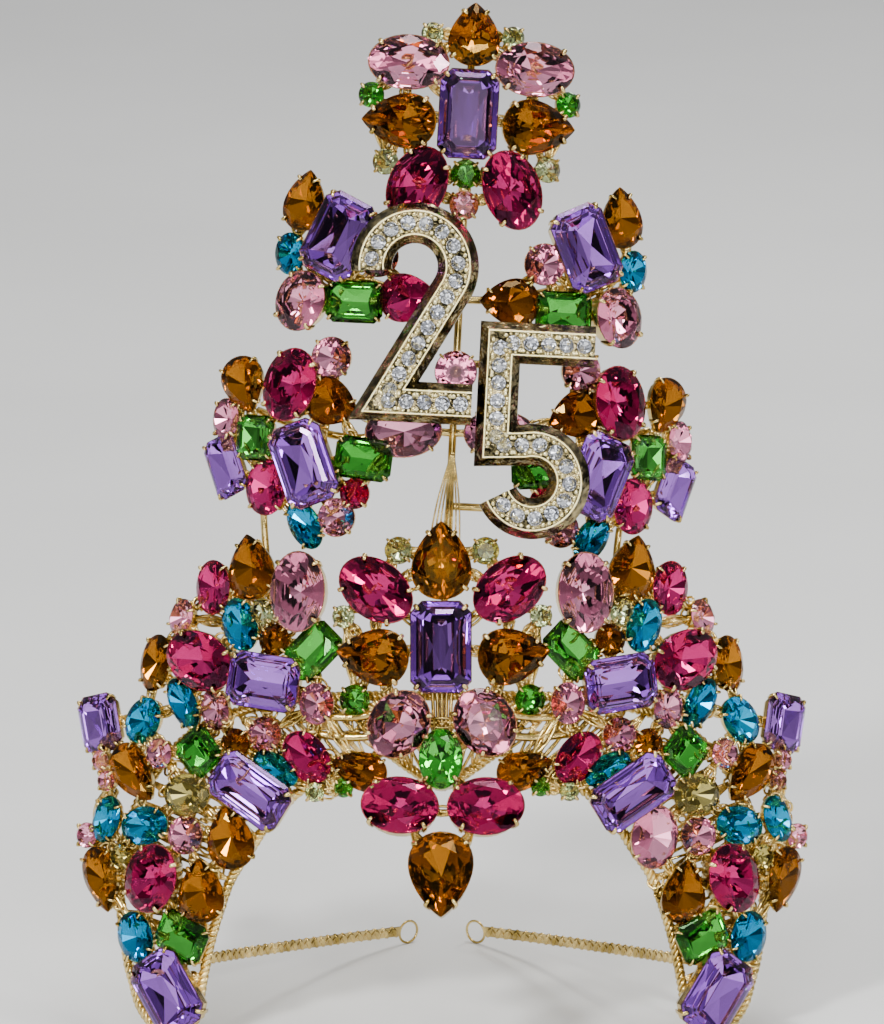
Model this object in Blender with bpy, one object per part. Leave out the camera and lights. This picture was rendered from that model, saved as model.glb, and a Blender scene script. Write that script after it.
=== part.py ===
"""Carnival crown: a bowed, leaning wall of claw-set stones on a rope-wire band, two numerals in
front of it, and two flat bands behind that end in rings. Metres, +Z up, the front towards -Y,
standing on z = 0. Places on the wall are in millimetres: u sideways, v up the wall, h out of it."""

import math
from collections import namedtuple

import bmesh
import bpy
from mathutils import Matrix, Vector

MM = 0.001

# The wall leans back and bows round the head, tighter above the forehead than at the legs
WALL_LEAN = math.radians(15)
BASE_LIFT = 7.6
FRONT_TO_ORIGIN = 53.97
LEG_BOW_RADIUS = 165.0
CROWN_BOW_RADIUS = 105.0
LEG_TOP = 80.0
CROWN_FOOT = 150.0

# The upper tiers stand a little askew, turned about a point over the forehead
ASKEW = math.radians(-2.9)
ASKEW_PIVOT = 118.8

# The drop cluster is bent forward below this height
DROP_TOP = 92.0
DROP_PITCH = math.radians(20)

# Heights out of the wall, and the shares of the outline at each height
MAIN_BACK, MAIN_GIRDLE, MAIN_TABLE = 4.0, 7.0, 9.6
SMALL_GIRDLE, SMALL_TABLE = 3.4, 5.4
PIECE_GAP = 0.3
BACK_SHARE, TABLE_SHARE = 0.55, 0.6
CUP_FOOT_SHARE, CUP_RIM_SHARE, SMALL_FOOT_SHARE = 0.42, 0.86, 0.5
STONE_FIT = 0.97
CORNER_CUT = 0.19
MAIN_SIDES, SMALL_SIDES = 10, 8
STRUT_HEIGHT, STRUT_RADIUS = 1.5, 0.85

# Claws: distance out from the girdle and height at the foot, the knee and the tip
CLAW_FOOT_SHARE, CLAW_FOOT_HEIGHT = 0.66, 2.4
CLAW_KNEE_OUT, CLAW_KNEE_HEIGHT = 0.95, 6.7
CLAW_TIP_OUT, CLAW_TIP_HEIGHT = 0.2, 8.5
CLAW_HALF_WIDTH, CLAW_INNER, CLAW_OUTER = 0.7, 0.25, 0.45
CLAW_CLEARANCE = 0.9

# Wires and rods behind the wall
ROPE_RADIUS = 1.5
FOOT_LENGTH, FOOT_WIDTH, FOOT_HEIGHT, FOOT_TOP_SHARE = 8.4, 4.8, 2.2, 0.8
SPINE_RADIUS = 1.2
SIDE_STRUT_RADIUS = 1.1
ROD_SIDES = 6

# Numerals
STROKE_WIDTH, STROKE_DEPTH, NUMERAL_BACK = 12.4, 5.0, 11.0
SIDE_DRAFT, RIM_WIDTH, CHANNEL_DEPTH = 1.6, 1.0, 1.4
LEAST_MITRE_COSINE = 0.45
POST_RADIUS, POST_SINK = 1.0, 1.5

# Rear bands
BAND_HEIGHT, BAND_THICKNESS = 4.0, 1.6
RING_OUTER, RING_WIRE = 7.8, 1.1

Stone = namedtuple("Stone", "label shape u v length width spin colour main")
OVAL, PEAR, OCTAGON, ROUND = "oval", "pear", "octagon", "round"
BROWN, PINK, ROSE, PURPLE = "topaz", "light_pink", "ruby", "amethyst"
GREEN, PALE, BLUE, SMOKE = "emerald", "peridot", "aqua", "smoke"

# One row a stone. Off the axis a row stands for a mirrored pair: u is its distance from the
# axis, and spin, counter-clockwise from upright, is that of the left one. A name in the last
# column makes it a raised main stone, a node of its own.
TOP_ROSETTE = (
    Stone("T1", PEAR, 0, 303.2, 19.5, 16, 0, BROWN, "crest_pear"),
    Stone("T2", ROUND, 12, 303.3, 7, 7, 0, PALE, ""),
    Stone("T3", OVAL, 19.2, 293.7, 25, 17, 90, PINK, "crest_oval"),
    Stone("T4", ROUND, 29.6, 284, 8, 8, 0, GREEN, ""),
    Stone("T5", PEAR, 20.9, 276.8, 23, 17, 90, BROWN, "crest_side_pear"),
    Stone("T6", OCTAGON, 0, 279.8, 27.4, 18.2, 0, PURPLE, "crest_octagon"),
    Stone("T7", ROUND, 24.3, 264.1, 8, 8, 0, PALE, ""),
    Stone("T8", OVAL, 14.1, 257.5, 25, 18, -22, ROSE, "crest_lower_oval"),
    Stone("T9", ROUND, 0, 261.5, 9, 9, 0, GREEN, ""),
    Stone("T10", ROUND, 0, 252.2, 9, 9, 0, PINK, ""),
)
UPPER_WING = (
    Stone("B1", PEAR, 47.8, 251.4, 19, 14, -8, BROWN, ""),
    Stone("B2", OCTAGON, 37.6, 241.5, 26, 18, -25, PURPLE, "upper_octagon"),
    Stone("B3", OVAL, 51.8, 235.6, 13, 10, 0, BLUE, ""),
    Stone("B4", OVAL, 47.9, 221, 19, 16, -18, PINK, "upper_oval"),
    Stone("B5", OCTAGON, 31.5, 221.8, 18, 13, 90, GREEN, ""),
    Stone("B6", PEAR, 14.8, 223.8, 19, 15, -90, ROSE, ""),
    Stone("B7", ROUND, 25, 236, 13, 13, 0, PINK, ""),
)
MIDDLE_WING = (
    Stone("C1", PEAR, 64, 195.5, 18, 15, 200, BROWN, ""),
    Stone("C2", OVAL, 50.1, 195.8, 23, 17, -15, ROSE, "middle_oval"),
    Stone("C3", ROUND, 37.5, 204.6, 13, 13, 0, PINK, ""),
    Stone("C4", PEAR, 36.6, 191.4, 18, 15, -110, BROWN, ""),
    Stone("C5", OCTAGON, 59.6, 179.6, 14, 13, 0, GREEN, ""),
    Stone("C6", OVAL, 68.8, 184.8, 13, 10, 0, PINK, ""),
    Stone("C7", OCTAGON, 68.1, 170.7, 19, 13, 25, PURPLE, ""),
    Stone("C8", OVAL, 55.5, 164.8, 17.5, 14, 0, ROSE, ""),
    Stone("C9", OCTAGON, 44.6, 172.8, 26, 18, 22, PURPLE, "middle_octagon"),
    Stone("C10", OCTAGON, 26.4, 175, 18, 13, 85, GREEN, ""),
    Stone("C11", ROUND, 28.4, 164.5, 9.5, 9.5, 0, ROSE, ""),
    Stone("C12", ROUND, 33.6, 156.8, 12, 12, 0, PINK, ""),
    Stone("C13", OVAL, 43.3, 154.2, 16, 10, 32, BLUE, ""),
    Stone("C14", OVAL, 14.7, 183.5, 24, 16, 95, PINK, ""),
)
SPINE_STONE = (Stone("C15", ROUND, 0, 202.2, 13, 13, 0, PINK, ""),)
CENTRE_ROSETTE = (
    Stone("D1", PEAR, 0, 145.8, 24, 18.5, 0, BROWN, "centre_pear"),
    Stone("D2", ROUND, 13.2, 148.7, 8.5, 8.5, 0, PALE, ""),
    Stone("D3", OVAL, 20.2, 136.8, 25, 18, 54, ROSE, "centre_oval"),
    Stone("D4", OCTAGON, 0, 119.9, 28.2, 18.8, 0, PURPLE, "centre_octagon"),
    Stone("D5", PEAR, 21.2, 117.2, 22.5, 17.5, 82, BROWN, "centre_side_pear"),
    Stone("D7", OVAL, 13.2, 97, 22, 18.5, -35, PINK, "centre_lower_oval"),
    Stone("D8", ROUND, 26.3, 104, 9.5, 9.5, 0, GREEN, ""),
)
DROP = (
    Stone("D9", OVAL, 0, 83.6, 19.5, 13.5, 0, GREEN, "drop_small_oval"),
    Stone("D10", OVAL, 12.2, 68.7, 24, 18.5, 84, ROSE, "drop_oval"),
    Stone("D11", PEAR, 0, 47.2, 27.5, 20, 180, BROWN, "drop_pear"),
)
SIDE_FIELD = (
    Stone("E1", PEAR, 57.6, 143.4, 20.5, 17, 10, BROWN, ""),
    Stone("E2", OVAL, 69.2, 137.3, 17, 13, 0, ROSE, ""),
    Stone("E3", OVAL, 43.5, 135.9, 25, 18, 0, PINK, "side_oval"),
    Stone("E4", OVAL, 60.9, 126, 17, 12, 20, BLUE, ""),
    Stone("E5", ROUND, 54.2, 130.2, 8.5, 8.5, 0, PALE, ""),
    Stone("E6", ROUND, 50.6, 121.6, 10, 10, 0, BROWN, ""),
    Stone("E7", OCTAGON, 38.7, 118.7, 18, 13, -45, GREEN, ""),
    Stone("E9", OCTAGON, 53.6, 108.9, 24, 17, 82, PURPLE, "side_octagon"),
    Stone("E10", OVAL, 37.7, 102.6, 13, 11, 0, PINK, ""),
    Stone("E11", OVAL, 73.5, 115.5, 24, 18, 68, ROSE, "side_outer_oval"),
    Stone("E12", OVAL, 78.9, 128.4, 12, 9, -30, PINK, ""),
    Stone("E13", OVAL, 86.9, 114.2, 18, 12, -12, BROWN, ""),
    Stone("E14", OVAL, 78.2, 102.5, 17, 10, 30, BLUE, ""),
    Stone("E15", OVAL, 68.3, 100.8, 13, 10, 10, PINK, ""),
    Stone("E16", ROUND, 53.4, 93.2, 11, 11, 0, PINK, ""),
    Stone("E17", ROUND, 62.3, 90.3, 9.5, 9.5, 0, BROWN, ""),
    Stone("F1", OCTAGON, 104.4, 96, 18, 16, 10, PURPLE, ""),
    Stone("F2", OVAL, 90.8, 97, 16, 12, -40, BLUE, ""),
    Stone("F3", ROUND, 85.7, 87, 9.5, 9.5, 0, PINK, ""),
    Stone("F4", PEAR, 93.5, 80.9, 21, 14, -140, BROWN, ""),
    Stone("F6", OCTAGON, 73.4, 87.8, 14, 13.5, 40, GREEN, ""),
    Stone("F7", OVAL, 77, 74.9, 16, 13, 90, SMOKE, ""),
    Stone("F8", OCTAGON, 57.6, 76.2, 27, 16, 57, PURPLE, "temple_octagon"),
    Stone("F9", OVAL, 50, 83, 16, 9, 60, BLUE, ""),
    Stone("F10", OVAL, 40.8, 86.6, 18, 13, 40, ROSE, ""),
    Stone("F11", PEAR, 24.9, 82.8, 18, 12, 72, BROWN, ""),
    Stone("G1", OVAL, 102.2, 66.9, 15, 10, -20, BLUE, ""),
    Stone("G2", OVAL, 90.2, 65.4, 17, 12, 100, BLUE, ""),
    Stone("G3", ROUND, 77.6, 62.4, 12, 12, 0, PINK, ""),
    Stone("G4", PEAR, 63.9, 62.4, 20, 16, 10, BROWN, ""),
    Stone("G5", OVAL, 88.2, 49.7, 22, 18, -25, ROSE, "leg_oval"),
    Stone("G6", PEAR, 103.8, 48.6, 21, 13, 195, BROWN, ""),
    Stone("G7", PEAR, 73, 45.8, 20, 15.5, 5, BROWN, ""),
    Stone("G8", ROUND, 108.3, 61.7, 8, 8, 0, PINK, ""),
    Stone("G9", OVAL, 93, 31.5, 16, 13, 20, BLUE, ""),
    Stone("G10", OCTAGON, 78.6, 31.8, 18, 13, 65, GREEN, ""),
    Stone("G11", OCTAGON, 83.4, 15, 26, 18, 33, PURPLE, "leg_octagon"),
)

# Half of the band rope, as (u, v): up the face edge to the middle, then the outer edge
FACE_EDGE = (
    (81, 0.6), (75.6, 6.6), (73.2, 18.3), (71.1, 28.8), (68.1, 39.3), (64.2, 49.8), (58.2, 58.8),
    (53.1, 66.3), (42.6, 76.8), (32, 80), (22, 86), (17, 88), (10, 83.5), (0, 78),
)
OUTER_EDGE = (
    (84.6, 0.6), (92.1, 9.3), (95.1, 18.3), (97.2, 27.3), (99, 45), (97, 62), (90, 78), (78, 92),
    (62, 100), (40, 104), (20, 105), (0, 105),
)

# Rods of the spine, as (u, v); a branch has its mirror twin
SPINE_ROD = ((0, 107.5), (0, 200), (0, 299))
SPINE_BRANCHES = (
    ((0, 224), (15, 225), (30, 229), (46, 233)),
    ((0, 184), (15, 184), (30, 181), (48, 184), (60, 188)),
)
POST_BRANCHES = (((0, 162), (17, 162)), ((0, 205), (15, 205)))

# Rod from under a middle wing's lowest oval down behind the side field, as (u, v, h)
SIDE_STRUT_TOP = (55.5, 164.8, STRUT_HEIGHT)
SIDE_STRUT_ROUTE = ((54.5, 155, -1.7), (52, 127, -1.7))

# Numerals, in millimetres from the lower left corner of each: straight runs and one bowl
TWO_CORNER, TWO_POSTS = (-33.4, 186.3), ((0, 192.8), (0, 234.8))
TWO_BOWL = {"centre": (19.5, 46.7), "radius": 13.0, "start": 188, "end": -26.5, "steps": 10}
TWO_FOOT = ((12, 6.2), (38.5, 6.2))
FIVE_CORNER, FIVE_POSTS = (6.6, 153.3), ((17, 162), (14.9, 205))
FIVE_FLAG = ((34.5, 58.3), (6.2, 58.3), (6.2, 27.5))
FIVE_BOWL = {"centre": (17.7, 17.3), "radius": 11.1, "start": 105, "end": -155, "steps": 10}

# Rear band of the left side, as world x, y, z from the leg to its ring; the right one mirrors it
BAND_START = (-71.6, 25.3)
BAND_ROUTE = ((-57.6, 52.5, 20.3), (-42.6, 79.3, 13.9), (-27.6, 103.0, 8.4), (-13.3, 120.1, 4.7))
RING_CENTRE = (-10.6, 122.2)
RING_YAW = math.radians(38)

COLOURS = {
    "gold": ((0.80, 0.63, 0.33, 1), 0.28, 1.0),
    "antique_gold": ((0.42, 0.35, 0.22, 1), 0.25, 1.0),
    BROWN: ((0.36, 0.13, 0.02, 1), 0.08, 0.0),
    PINK: ((0.90, 0.42, 0.60, 1), 0.08, 0.0),
    ROSE: ((0.62, 0.02, 0.18, 1), 0.08, 0.0),
    PURPLE: ((0.30, 0.12, 0.62, 1), 0.08, 0.0),
    GREEN: ((0.06, 0.45, 0.10, 1), 0.08, 0.0),
    PALE: ((0.62, 0.78, 0.45, 1), 0.08, 0.0),
    BLUE: ((0.01, 0.38, 0.58, 1), 0.08, 0.0),
    SMOKE: ((0.30, 0.26, 0.10, 1), 0.08, 0.0),
}

# Wall axes (sideways, back, up) to world, and a setting's axes (sideways, up, out) to the wall's
WALL = Matrix.Translation((0, -FRONT_TO_ORIGIN, BASE_LIFT)) @ Matrix.Rotation(-WALL_LEAN, 4, "X")
FACE = Matrix.Rotation(math.pi / 2, 4, "X")


def clear_scene():
    for item in list(bpy.data.objects):
        bpy.data.objects.remove(item, do_unlink=True)


def new_collection(name):
    collection = bpy.data.collections.new(name)
    bpy.context.scene.collection.children.link(collection)
    return collection


def material(name, colour):
    """A material of this part's own, in one of the named colours."""
    made = bpy.data.materials.new(name)
    made.use_nodes = True
    shader = made.node_tree.nodes["Principled BSDF"]
    base, roughness, metallic = COLOURS[colour]
    shader.inputs["Base Color"].default_value = base
    shader.inputs["Roughness"].default_value = roughness
    shader.inputs["Metallic"].default_value = metallic
    return made


def wall_radius(v):
    share = (v - LEG_TOP) / (CROWN_FOOT - LEG_TOP)
    share = min(max(share, 0.0), 1.0)
    return LEG_BOW_RADIUS + share * (CROWN_BOW_RADIUS - LEG_BOW_RADIUS)


def wall_frame(u, v):
    """World frame, in millimetres, of the wall's point (u, v): x sideways, y up, z outwards."""
    radius = wall_radius(v)
    yaw = math.asin(u / radius)
    seat = Matrix.Translation((u, radius - radius * math.cos(yaw), v))
    return WALL @ seat @ Matrix.Rotation(yaw, 4, "Z") @ FACE


def wall_point(u, v, h):
    return wall_frame(u, v) @ Vector((0, 0, h))


def askew(u, v):
    """Where a point of an upper tier really stands."""
    turned = Matrix.Rotation(ASKEW, 2) @ Vector((u, v - ASKEW_PIVOT))
    return turned.x, turned.y + ASKEW_PIVOT


def level(u, v):
    return u, v


def foot_of(stone, u, v):
    """How far sideways a stone's foot stands, for a girdle that is seen at u from the front."""
    girdle = MAIN_GIRDLE if stone.main else SMALL_GIRDLE
    return u / (1 + girdle / wall_radius(v))


def metres(frame):
    """The same frame with its place in metres."""
    placed = frame.copy()
    placed.translation = frame.translation * MM
    return placed


def outline(shape, length, width, count):
    """Points round a stone's girdle, long axis along y, a pear's point at +y."""
    if shape == OCTAGON:
        x, y = width / 2, length / 2
        cut = CORNER_CUT * width
        half = [(x - cut, y), (x, y - cut), (x, cut - y), (x - cut, -y)]
        return [Vector(p) for p in half] + [Vector((-x0, y0)) for x0, y0 in reversed(half)]
    points = []
    for index in range(count):
        turn = 2 * math.pi * index / count
        x = math.sin(turn)
        if shape == PEAR:
            # A full teardrop: 0.82 is the largest value of sin(t) sin(t / 2) ** 0.7
            x *= abs(math.sin(turn / 2)) ** 0.7 / 0.82
        points.append(Vector((x * width / 2, math.cos(turn) * length / 2)))
    return points


def girdle_of(stone, count):
    return outline(stone.shape, stone.length * STONE_FIT, stone.width * STONE_FIT, count)


def loft(name, rings, collection):
    """A closed solid through rings of equally many points, with flat ends."""
    built = bmesh.new()
    loops = [[built.verts.new(Vector(point) * MM) for point in ring] for ring in rings]
    for lower, upper in zip(loops, loops[1:]):
        for a in range(len(lower)):
            b = (a + 1) % len(lower)
            built.faces.new((lower[a], lower[b], upper[b], upper[a]))
    built.faces.new(reversed(loops[0]))
    built.faces.new(loops[-1])
    bmesh.ops.recalc_face_normals(built, faces=built.faces)
    mesh = bpy.data.meshes.new(name)
    built.to_mesh(mesh)
    built.free()
    made = bpy.data.objects.new(name, mesh)
    collection.objects.link(made)
    return made


def ring_at(points, share, height):
    return [(p.x * share, p.y * share, height) for p in points]


def rod(name, start, end, radius, collection, sides=3):
    """A straight rod between two world points in millimetres."""
    built = bmesh.new()
    along = end - start
    turn = along.to_track_quat("Z", "Y").to_matrix().to_4x4()
    place = Matrix.Translation((start + end) / 2 * MM) @ turn
    bmesh.ops.create_cone(built, cap_ends=True, segments=sides, radius1=radius * MM,
                          radius2=radius * MM, depth=along.length * MM, matrix=place)
    mesh = bpy.data.meshes.new(name)
    built.to_mesh(mesh)
    built.free()
    made = bpy.data.objects.new(name, mesh)
    collection.objects.link(made)
    return made


def tube(name, points, radius, collection, cyclic=False):
    """A round wire through world points, made as a bevelled curve and turned into a mesh."""
    curve = bpy.data.curves.new(name, "CURVE")
    curve.dimensions = "3D"
    curve.bevel_depth = radius * MM
    curve.bevel_resolution = ROD_SIDES // 2 - 2
    curve.use_fill_caps = not cyclic
    spline = curve.splines.new("POLY")
    spline.points.add(len(points) - 1)
    for target, point in zip(spline.points, points):
        target.co = (*(point * MM), 1)
    spline.use_cyclic_u = cyclic
    wire = bpy.data.objects.new(name, curve)
    collection.objects.link(wire)
    bpy.context.view_layer.update()
    evaluated = wire.evaluated_get(bpy.context.evaluated_depsgraph_get())
    mesh = bpy.data.meshes.new_from_object(evaluated)
    welded = bmesh.new()
    welded.from_mesh(mesh)
    bmesh.ops.remove_doubles(welded, verts=welded.verts, dist=0.00001)
    bmesh.ops.recalc_face_normals(welded, faces=welded.faces)
    welded.to_mesh(mesh)
    welded.free()
    made = bpy.data.objects.new(name, mesh)
    collection.objects.link(made)
    bpy.data.objects.remove(wire, do_unlink=True)
    return made


def fuse(name, colour, pieces):
    """One solid of these overlapping pieces: the first takes the others in by a Boolean union."""
    body, others = pieces[0], pieces[1:]
    for collection in list(body.users_collection):
        collection.objects.unlink(body)
    PARTS.objects.link(body)
    body.name = name
    body.data.materials.append(material(name, colour))
    body.parent = ROOT
    if not others:
        return body
    group = bpy.data.collections.new(name + "_pieces")
    CUTTERS.children.link(group)
    for piece in others:
        for collection in list(piece.users_collection):
            collection.objects.unlink(piece)
        group.objects.link(piece)
        piece.hide_render = True
        piece.display_type = "WIRE"
    union = body.modifiers.new("soldered", "BOOLEAN")
    union.operation = "UNION"
    union.operand_type = "COLLECTION"
    union.collection = group
    union.solver = "EXACT"
    return body


Seat = namedtuple("Seat", "stone side frame node")


def seats_of(stones, node, sides, shift, drop=False):
    """Where each stone of a chart stands: side is -1 left, 0 on the axis and 1 right."""
    seats = []
    for stone in stones:
        for side in ((0,) if stone.u == 0 else sides):
            turn = math.radians(stone.spin) * (-1 if side > 0 else 1)
            u, v = shift(stone.u * side, stone.v)
            if shift is askew:
                turn += ASKEW
            u = foot_of(stone, u, v)
            if drop:
                frame = wall_frame(u, DROP_TOP) @ Matrix.Rotation(-DROP_PITCH, 4, "X")
                frame = frame @ Matrix.Translation((0, v - DROP_TOP, 0))
            else:
                frame = wall_frame(u, v)
            seats.append(Seat(stone, side, frame @ Matrix.Rotation(turn, 4, "Z"), node))
    return seats


def small_stone(seat):
    """A small stone fused to its tapered cup."""
    girdle = girdle_of(seat.stone, SMALL_SIDES)
    rings = (ring_at(girdle, SMALL_FOOT_SHARE, 0), ring_at(girdle, 1, SMALL_GIRDLE),
             ring_at(girdle, TABLE_SHARE, SMALL_TABLE))
    made = loft("cup", rings, CUTTERS)
    made.matrix_world = metres(seat.frame)
    return [made]


def inside(seat, point, margin):
    """Whether a world point lies over this seat's stone, or within margin of it."""
    local = seat.frame.inverted() @ point
    if abs(local.z - MAIN_GIRDLE / 2) > MAIN_TABLE:
        return False
    girdle = girdle_of(seat.stone, MAIN_SIDES)
    for a, b in zip(girdle, girdle[1:] + girdle[:1]):
        along = (b - a).normalized()
        away = Vector((-along.y, along.x))
        if (local.xy - a).dot(away) > margin:
            return False
    return True


def claw_spots(stone):
    """Where the four claws meet the girdle: at its corners, a pear's at its point and its base."""
    girdle = girdle_of(stone, 24)
    if stone.shape == OCTAGON:
        return [(girdle[n] + girdle[n + 1]) / 2 for n in (0, 2, 4, 6)]
    return [girdle[n] for n in ((0, 8, 12, 16) if stone.shape == PEAR else (3, 9, 15, 21))]


def claws(seat, others):
    """Four bent claws round a main stone, without those that a neighbour leaves no room for."""
    made = []
    for spot in claw_spots(seat.stone):
        out = spot.normalized()
        side = Vector((-out.y, out.x)) * CLAW_HALF_WIDTH
        reach = out * CLAW_KNEE_OUT
        knee = seat.frame @ Vector((*(spot + reach), CLAW_KNEE_HEIGHT))
        if any(inside(other, knee, CLAW_CLEARANCE) for other in others):
            continue
        path = ((spot * CLAW_FOOT_SHARE, CLAW_FOOT_HEIGHT), (spot + reach, CLAW_KNEE_HEIGHT),
                (spot + out * CLAW_TIP_OUT, CLAW_TIP_HEIGHT))
        rings = []
        for centre, height in path:
            inner = centre - out * CLAW_INNER
            corners = (inner - side, centre + out * CLAW_OUTER, inner + side)
            rings.append([(c.x, c.y, height) for c in corners])
        claw = loft("claw", rings, CUTTERS)
        claw.matrix_world = metres(seat.frame)
        made.append(claw)
    return made


def main_stone(seat):
    """A main stone as a node of its own: flat back, girdle and table."""
    stone = seat.stone
    girdle = girdle_of(stone, MAIN_SIDES)
    rings = (ring_at(girdle, BACK_SHARE, MAIN_BACK), ring_at(girdle, 1, MAIN_GIRDLE),
             ring_at(girdle, TABLE_SHARE, MAIN_TABLE))
    name = stone.main + {-1: "_left", 0: "", 1: "_right"}[seat.side]
    made = loft(name, rings, PARTS)
    made.matrix_world = metres(seat.frame)
    made.data.materials.append(material(name, stone.colour))
    made.parent = ROOT


def main_cup(seat, others):
    """The cup under a main stone, with its claws."""
    girdle = girdle_of(seat.stone, SMALL_SIDES)
    rings = (ring_at(girdle, CUP_FOOT_SHARE, 0),
             ring_at(girdle, CUP_RIM_SHARE, MAIN_BACK - PIECE_GAP))
    cup = loft("cup", rings, CUTTERS)
    cup.matrix_world = metres(seat.frame)
    return [cup] + claws(seat, others)


def struts(seats):
    """Solder wires that join each cup to the nearest one already joined."""
    feet = [seat.frame @ Vector((0, 0, STRUT_HEIGHT)) for seat in seats]
    joined, waiting, made = [0], list(range(1, len(feet))), []
    while waiting:
        near, far = min(((a, b) for a in joined for b in waiting),
                        key=lambda pair: (feet[pair[0]] - feet[pair[1]]).length)
        made.append(rod("strut", feet[near], feet[far], STRUT_RADIUS, CUTTERS))
        joined.append(far)
        waiting.remove(far)
    return made


def field(name, seats, everyone, extras=()):
    """A soldered group of settings: cups, claws, small stones and the wires between them."""
    pieces = []
    for seat in seats:
        if seat.stone.main:
            others = [other for other in everyone if other is not seat
                      and (other.stone.main or other.node != seat.node)]
            pieces += main_cup(seat, others)
            main_stone(seat)
        else:
            pieces += small_stone(seat)
    return fuse(name, "gold", pieces + struts(seats) + list(extras))


def spine_wire(name, route):
    """A rod that follows the wall behind the upper tiers' cups, along (u, v) points."""
    height = -(SPINE_RADIUS + PIECE_GAP)
    points = [wall_point(*askew(u, v), height) for u, v in route]
    return tube(name, points, SPINE_RADIUS, CUTTERS)


def band_rope():
    """The closed rope round the face arch, the legs and the forehead, with a plain flat foot."""
    half = list(reversed(OUTER_EDGE)) + list(FACE_EDGE)
    mirrored = [(-u, v) for u, v in reversed(half[1:-1])]
    height = -(ROPE_RADIUS + PIECE_GAP)
    points = [wall_point(u, v, height) for u, v in half + mirrored]
    rope = tube("rope", points, ROPE_RADIUS, CUTTERS, cyclic=True)
    pieces = [rope]
    for side in (-1, 1):
        tips = [wall_point(side * edge[0][0], edge[0][1], height) for edge in (FACE_EDGE, OUTER_EDGE)]
        centre = (tips[0] + tips[1]) / 2
        turn = math.atan2(tips[1].y - tips[0].y, tips[1].x - tips[0].x)
        foot = [Vector((x * FOOT_LENGTH / 2, y * FOOT_WIDTH / 2))
                for x, y in ((-1, -1), (1, -1), (1, 1), (-1, 1))]
        pad = loft("foot", (ring_at(foot, 1, 0), ring_at(foot, FOOT_TOP_SHARE, FOOT_HEIGHT)), CUTTERS)
        pad.matrix_world = metres(Matrix.Translation((centre.x, centre.y, 0))
                                  @ Matrix.Rotation(turn, 4, "Z"))
        pieces.append(pad)
    return fuse("band_rope", "gold", pieces)


def spine():
    """The upright behind the tiers, its branches, and the one small stone that sits on it."""
    pieces = [spine_wire("rod", SPINE_ROD)]
    for route in SPINE_BRANCHES:
        for side in (-1, 1):
            pieces.append(spine_wire("branch", [(u * side, v) for u, v in route]))
    for route in POST_BRANCHES:
        pieces.append(spine_wire("branch", route))
    seat = seats_of(SPINE_STONE, "spine", (0,), askew)[0]
    pieces += small_stone(seat)
    behind = -(SPINE_RADIUS + PIECE_GAP)
    pieces.append(rod("stem", seat.frame @ Vector((0, 0, STRUT_HEIGHT)),
                      seat.frame @ Vector((0, 0, behind)), SPINE_RADIUS, CUTTERS, ROD_SIDES))
    return fuse("spine", "gold", pieces)


def arc(centre, radius, start, end, steps):
    """Points along an arc, with its angles in degrees."""
    turns = [math.radians(start + (end - start) * n / steps) for n in range(steps + 1)]
    return [Vector((centre[0] + radius * math.cos(a), centre[1] + radius * math.sin(a)))
            for a in turns]


def stroke_rings(path):
    """Rings of the numeral's channel section along a flat path, mitred at its corners."""
    base = STROKE_WIDTH / 2
    rim = base - SIDE_DRAFT
    inner = rim - RIM_WIDTH
    floor = STROKE_DEPTH - CHANNEL_DEPTH
    section = ((-base, 0), (-rim, STROKE_DEPTH), (-inner, floor),
               (inner, floor), (rim, STROKE_DEPTH), (base, 0))
    rings = []
    for index, point in enumerate(path):
        before = (point - path[index - 1]).normalized() if index else None
        after = (path[index + 1] - point).normalized() if index + 1 < len(path) else None
        before, after = before or after, after or before
        along = (before + after).normalized()
        across = Vector((along.y, -along.x)) / max(along.dot(after), LEAST_MITRE_COSINE)
        rings.append([(*(point + across * x), z) for x, z in section])
    return rings


def numeral(name, path, corner, posts):
    """A numeral at (u, v) of its lower left corner, on round posts that reach the spine."""
    u, v = askew(*corner)
    wall = WALL @ Matrix.Translation((u, 0, v)) @ FACE @ Matrix.Rotation(ASKEW, 4, "Z")
    frame = wall @ Matrix.Translation((0, 0, NUMERAL_BACK))
    body = loft(name, stroke_rings(path), CUTTERS)
    body.matrix_world = metres(frame)
    pieces = [body]
    for spot in posts:
        top = frame @ Vector((spot[0] - corner[0], spot[1] - corner[1], POST_SINK))
        foot = wall_point(*askew(*spot), 0)
        pieces.append(rod("post", foot, top, POST_RADIUS, CUTTERS, ROD_SIDES))
    return fuse(name, "antique_gold", pieces)


def numeral_two():
    path = arc(**TWO_BOWL) + [Vector(point) for point in TWO_FOOT]
    return numeral("numeral_2", path, TWO_CORNER, TWO_POSTS)


def numeral_five():
    path = [Vector(point) for point in FIVE_FLAG] + arc(**FIVE_BOWL)
    return numeral("numeral_5", path, FIVE_CORNER, FIVE_POSTS)


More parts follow.
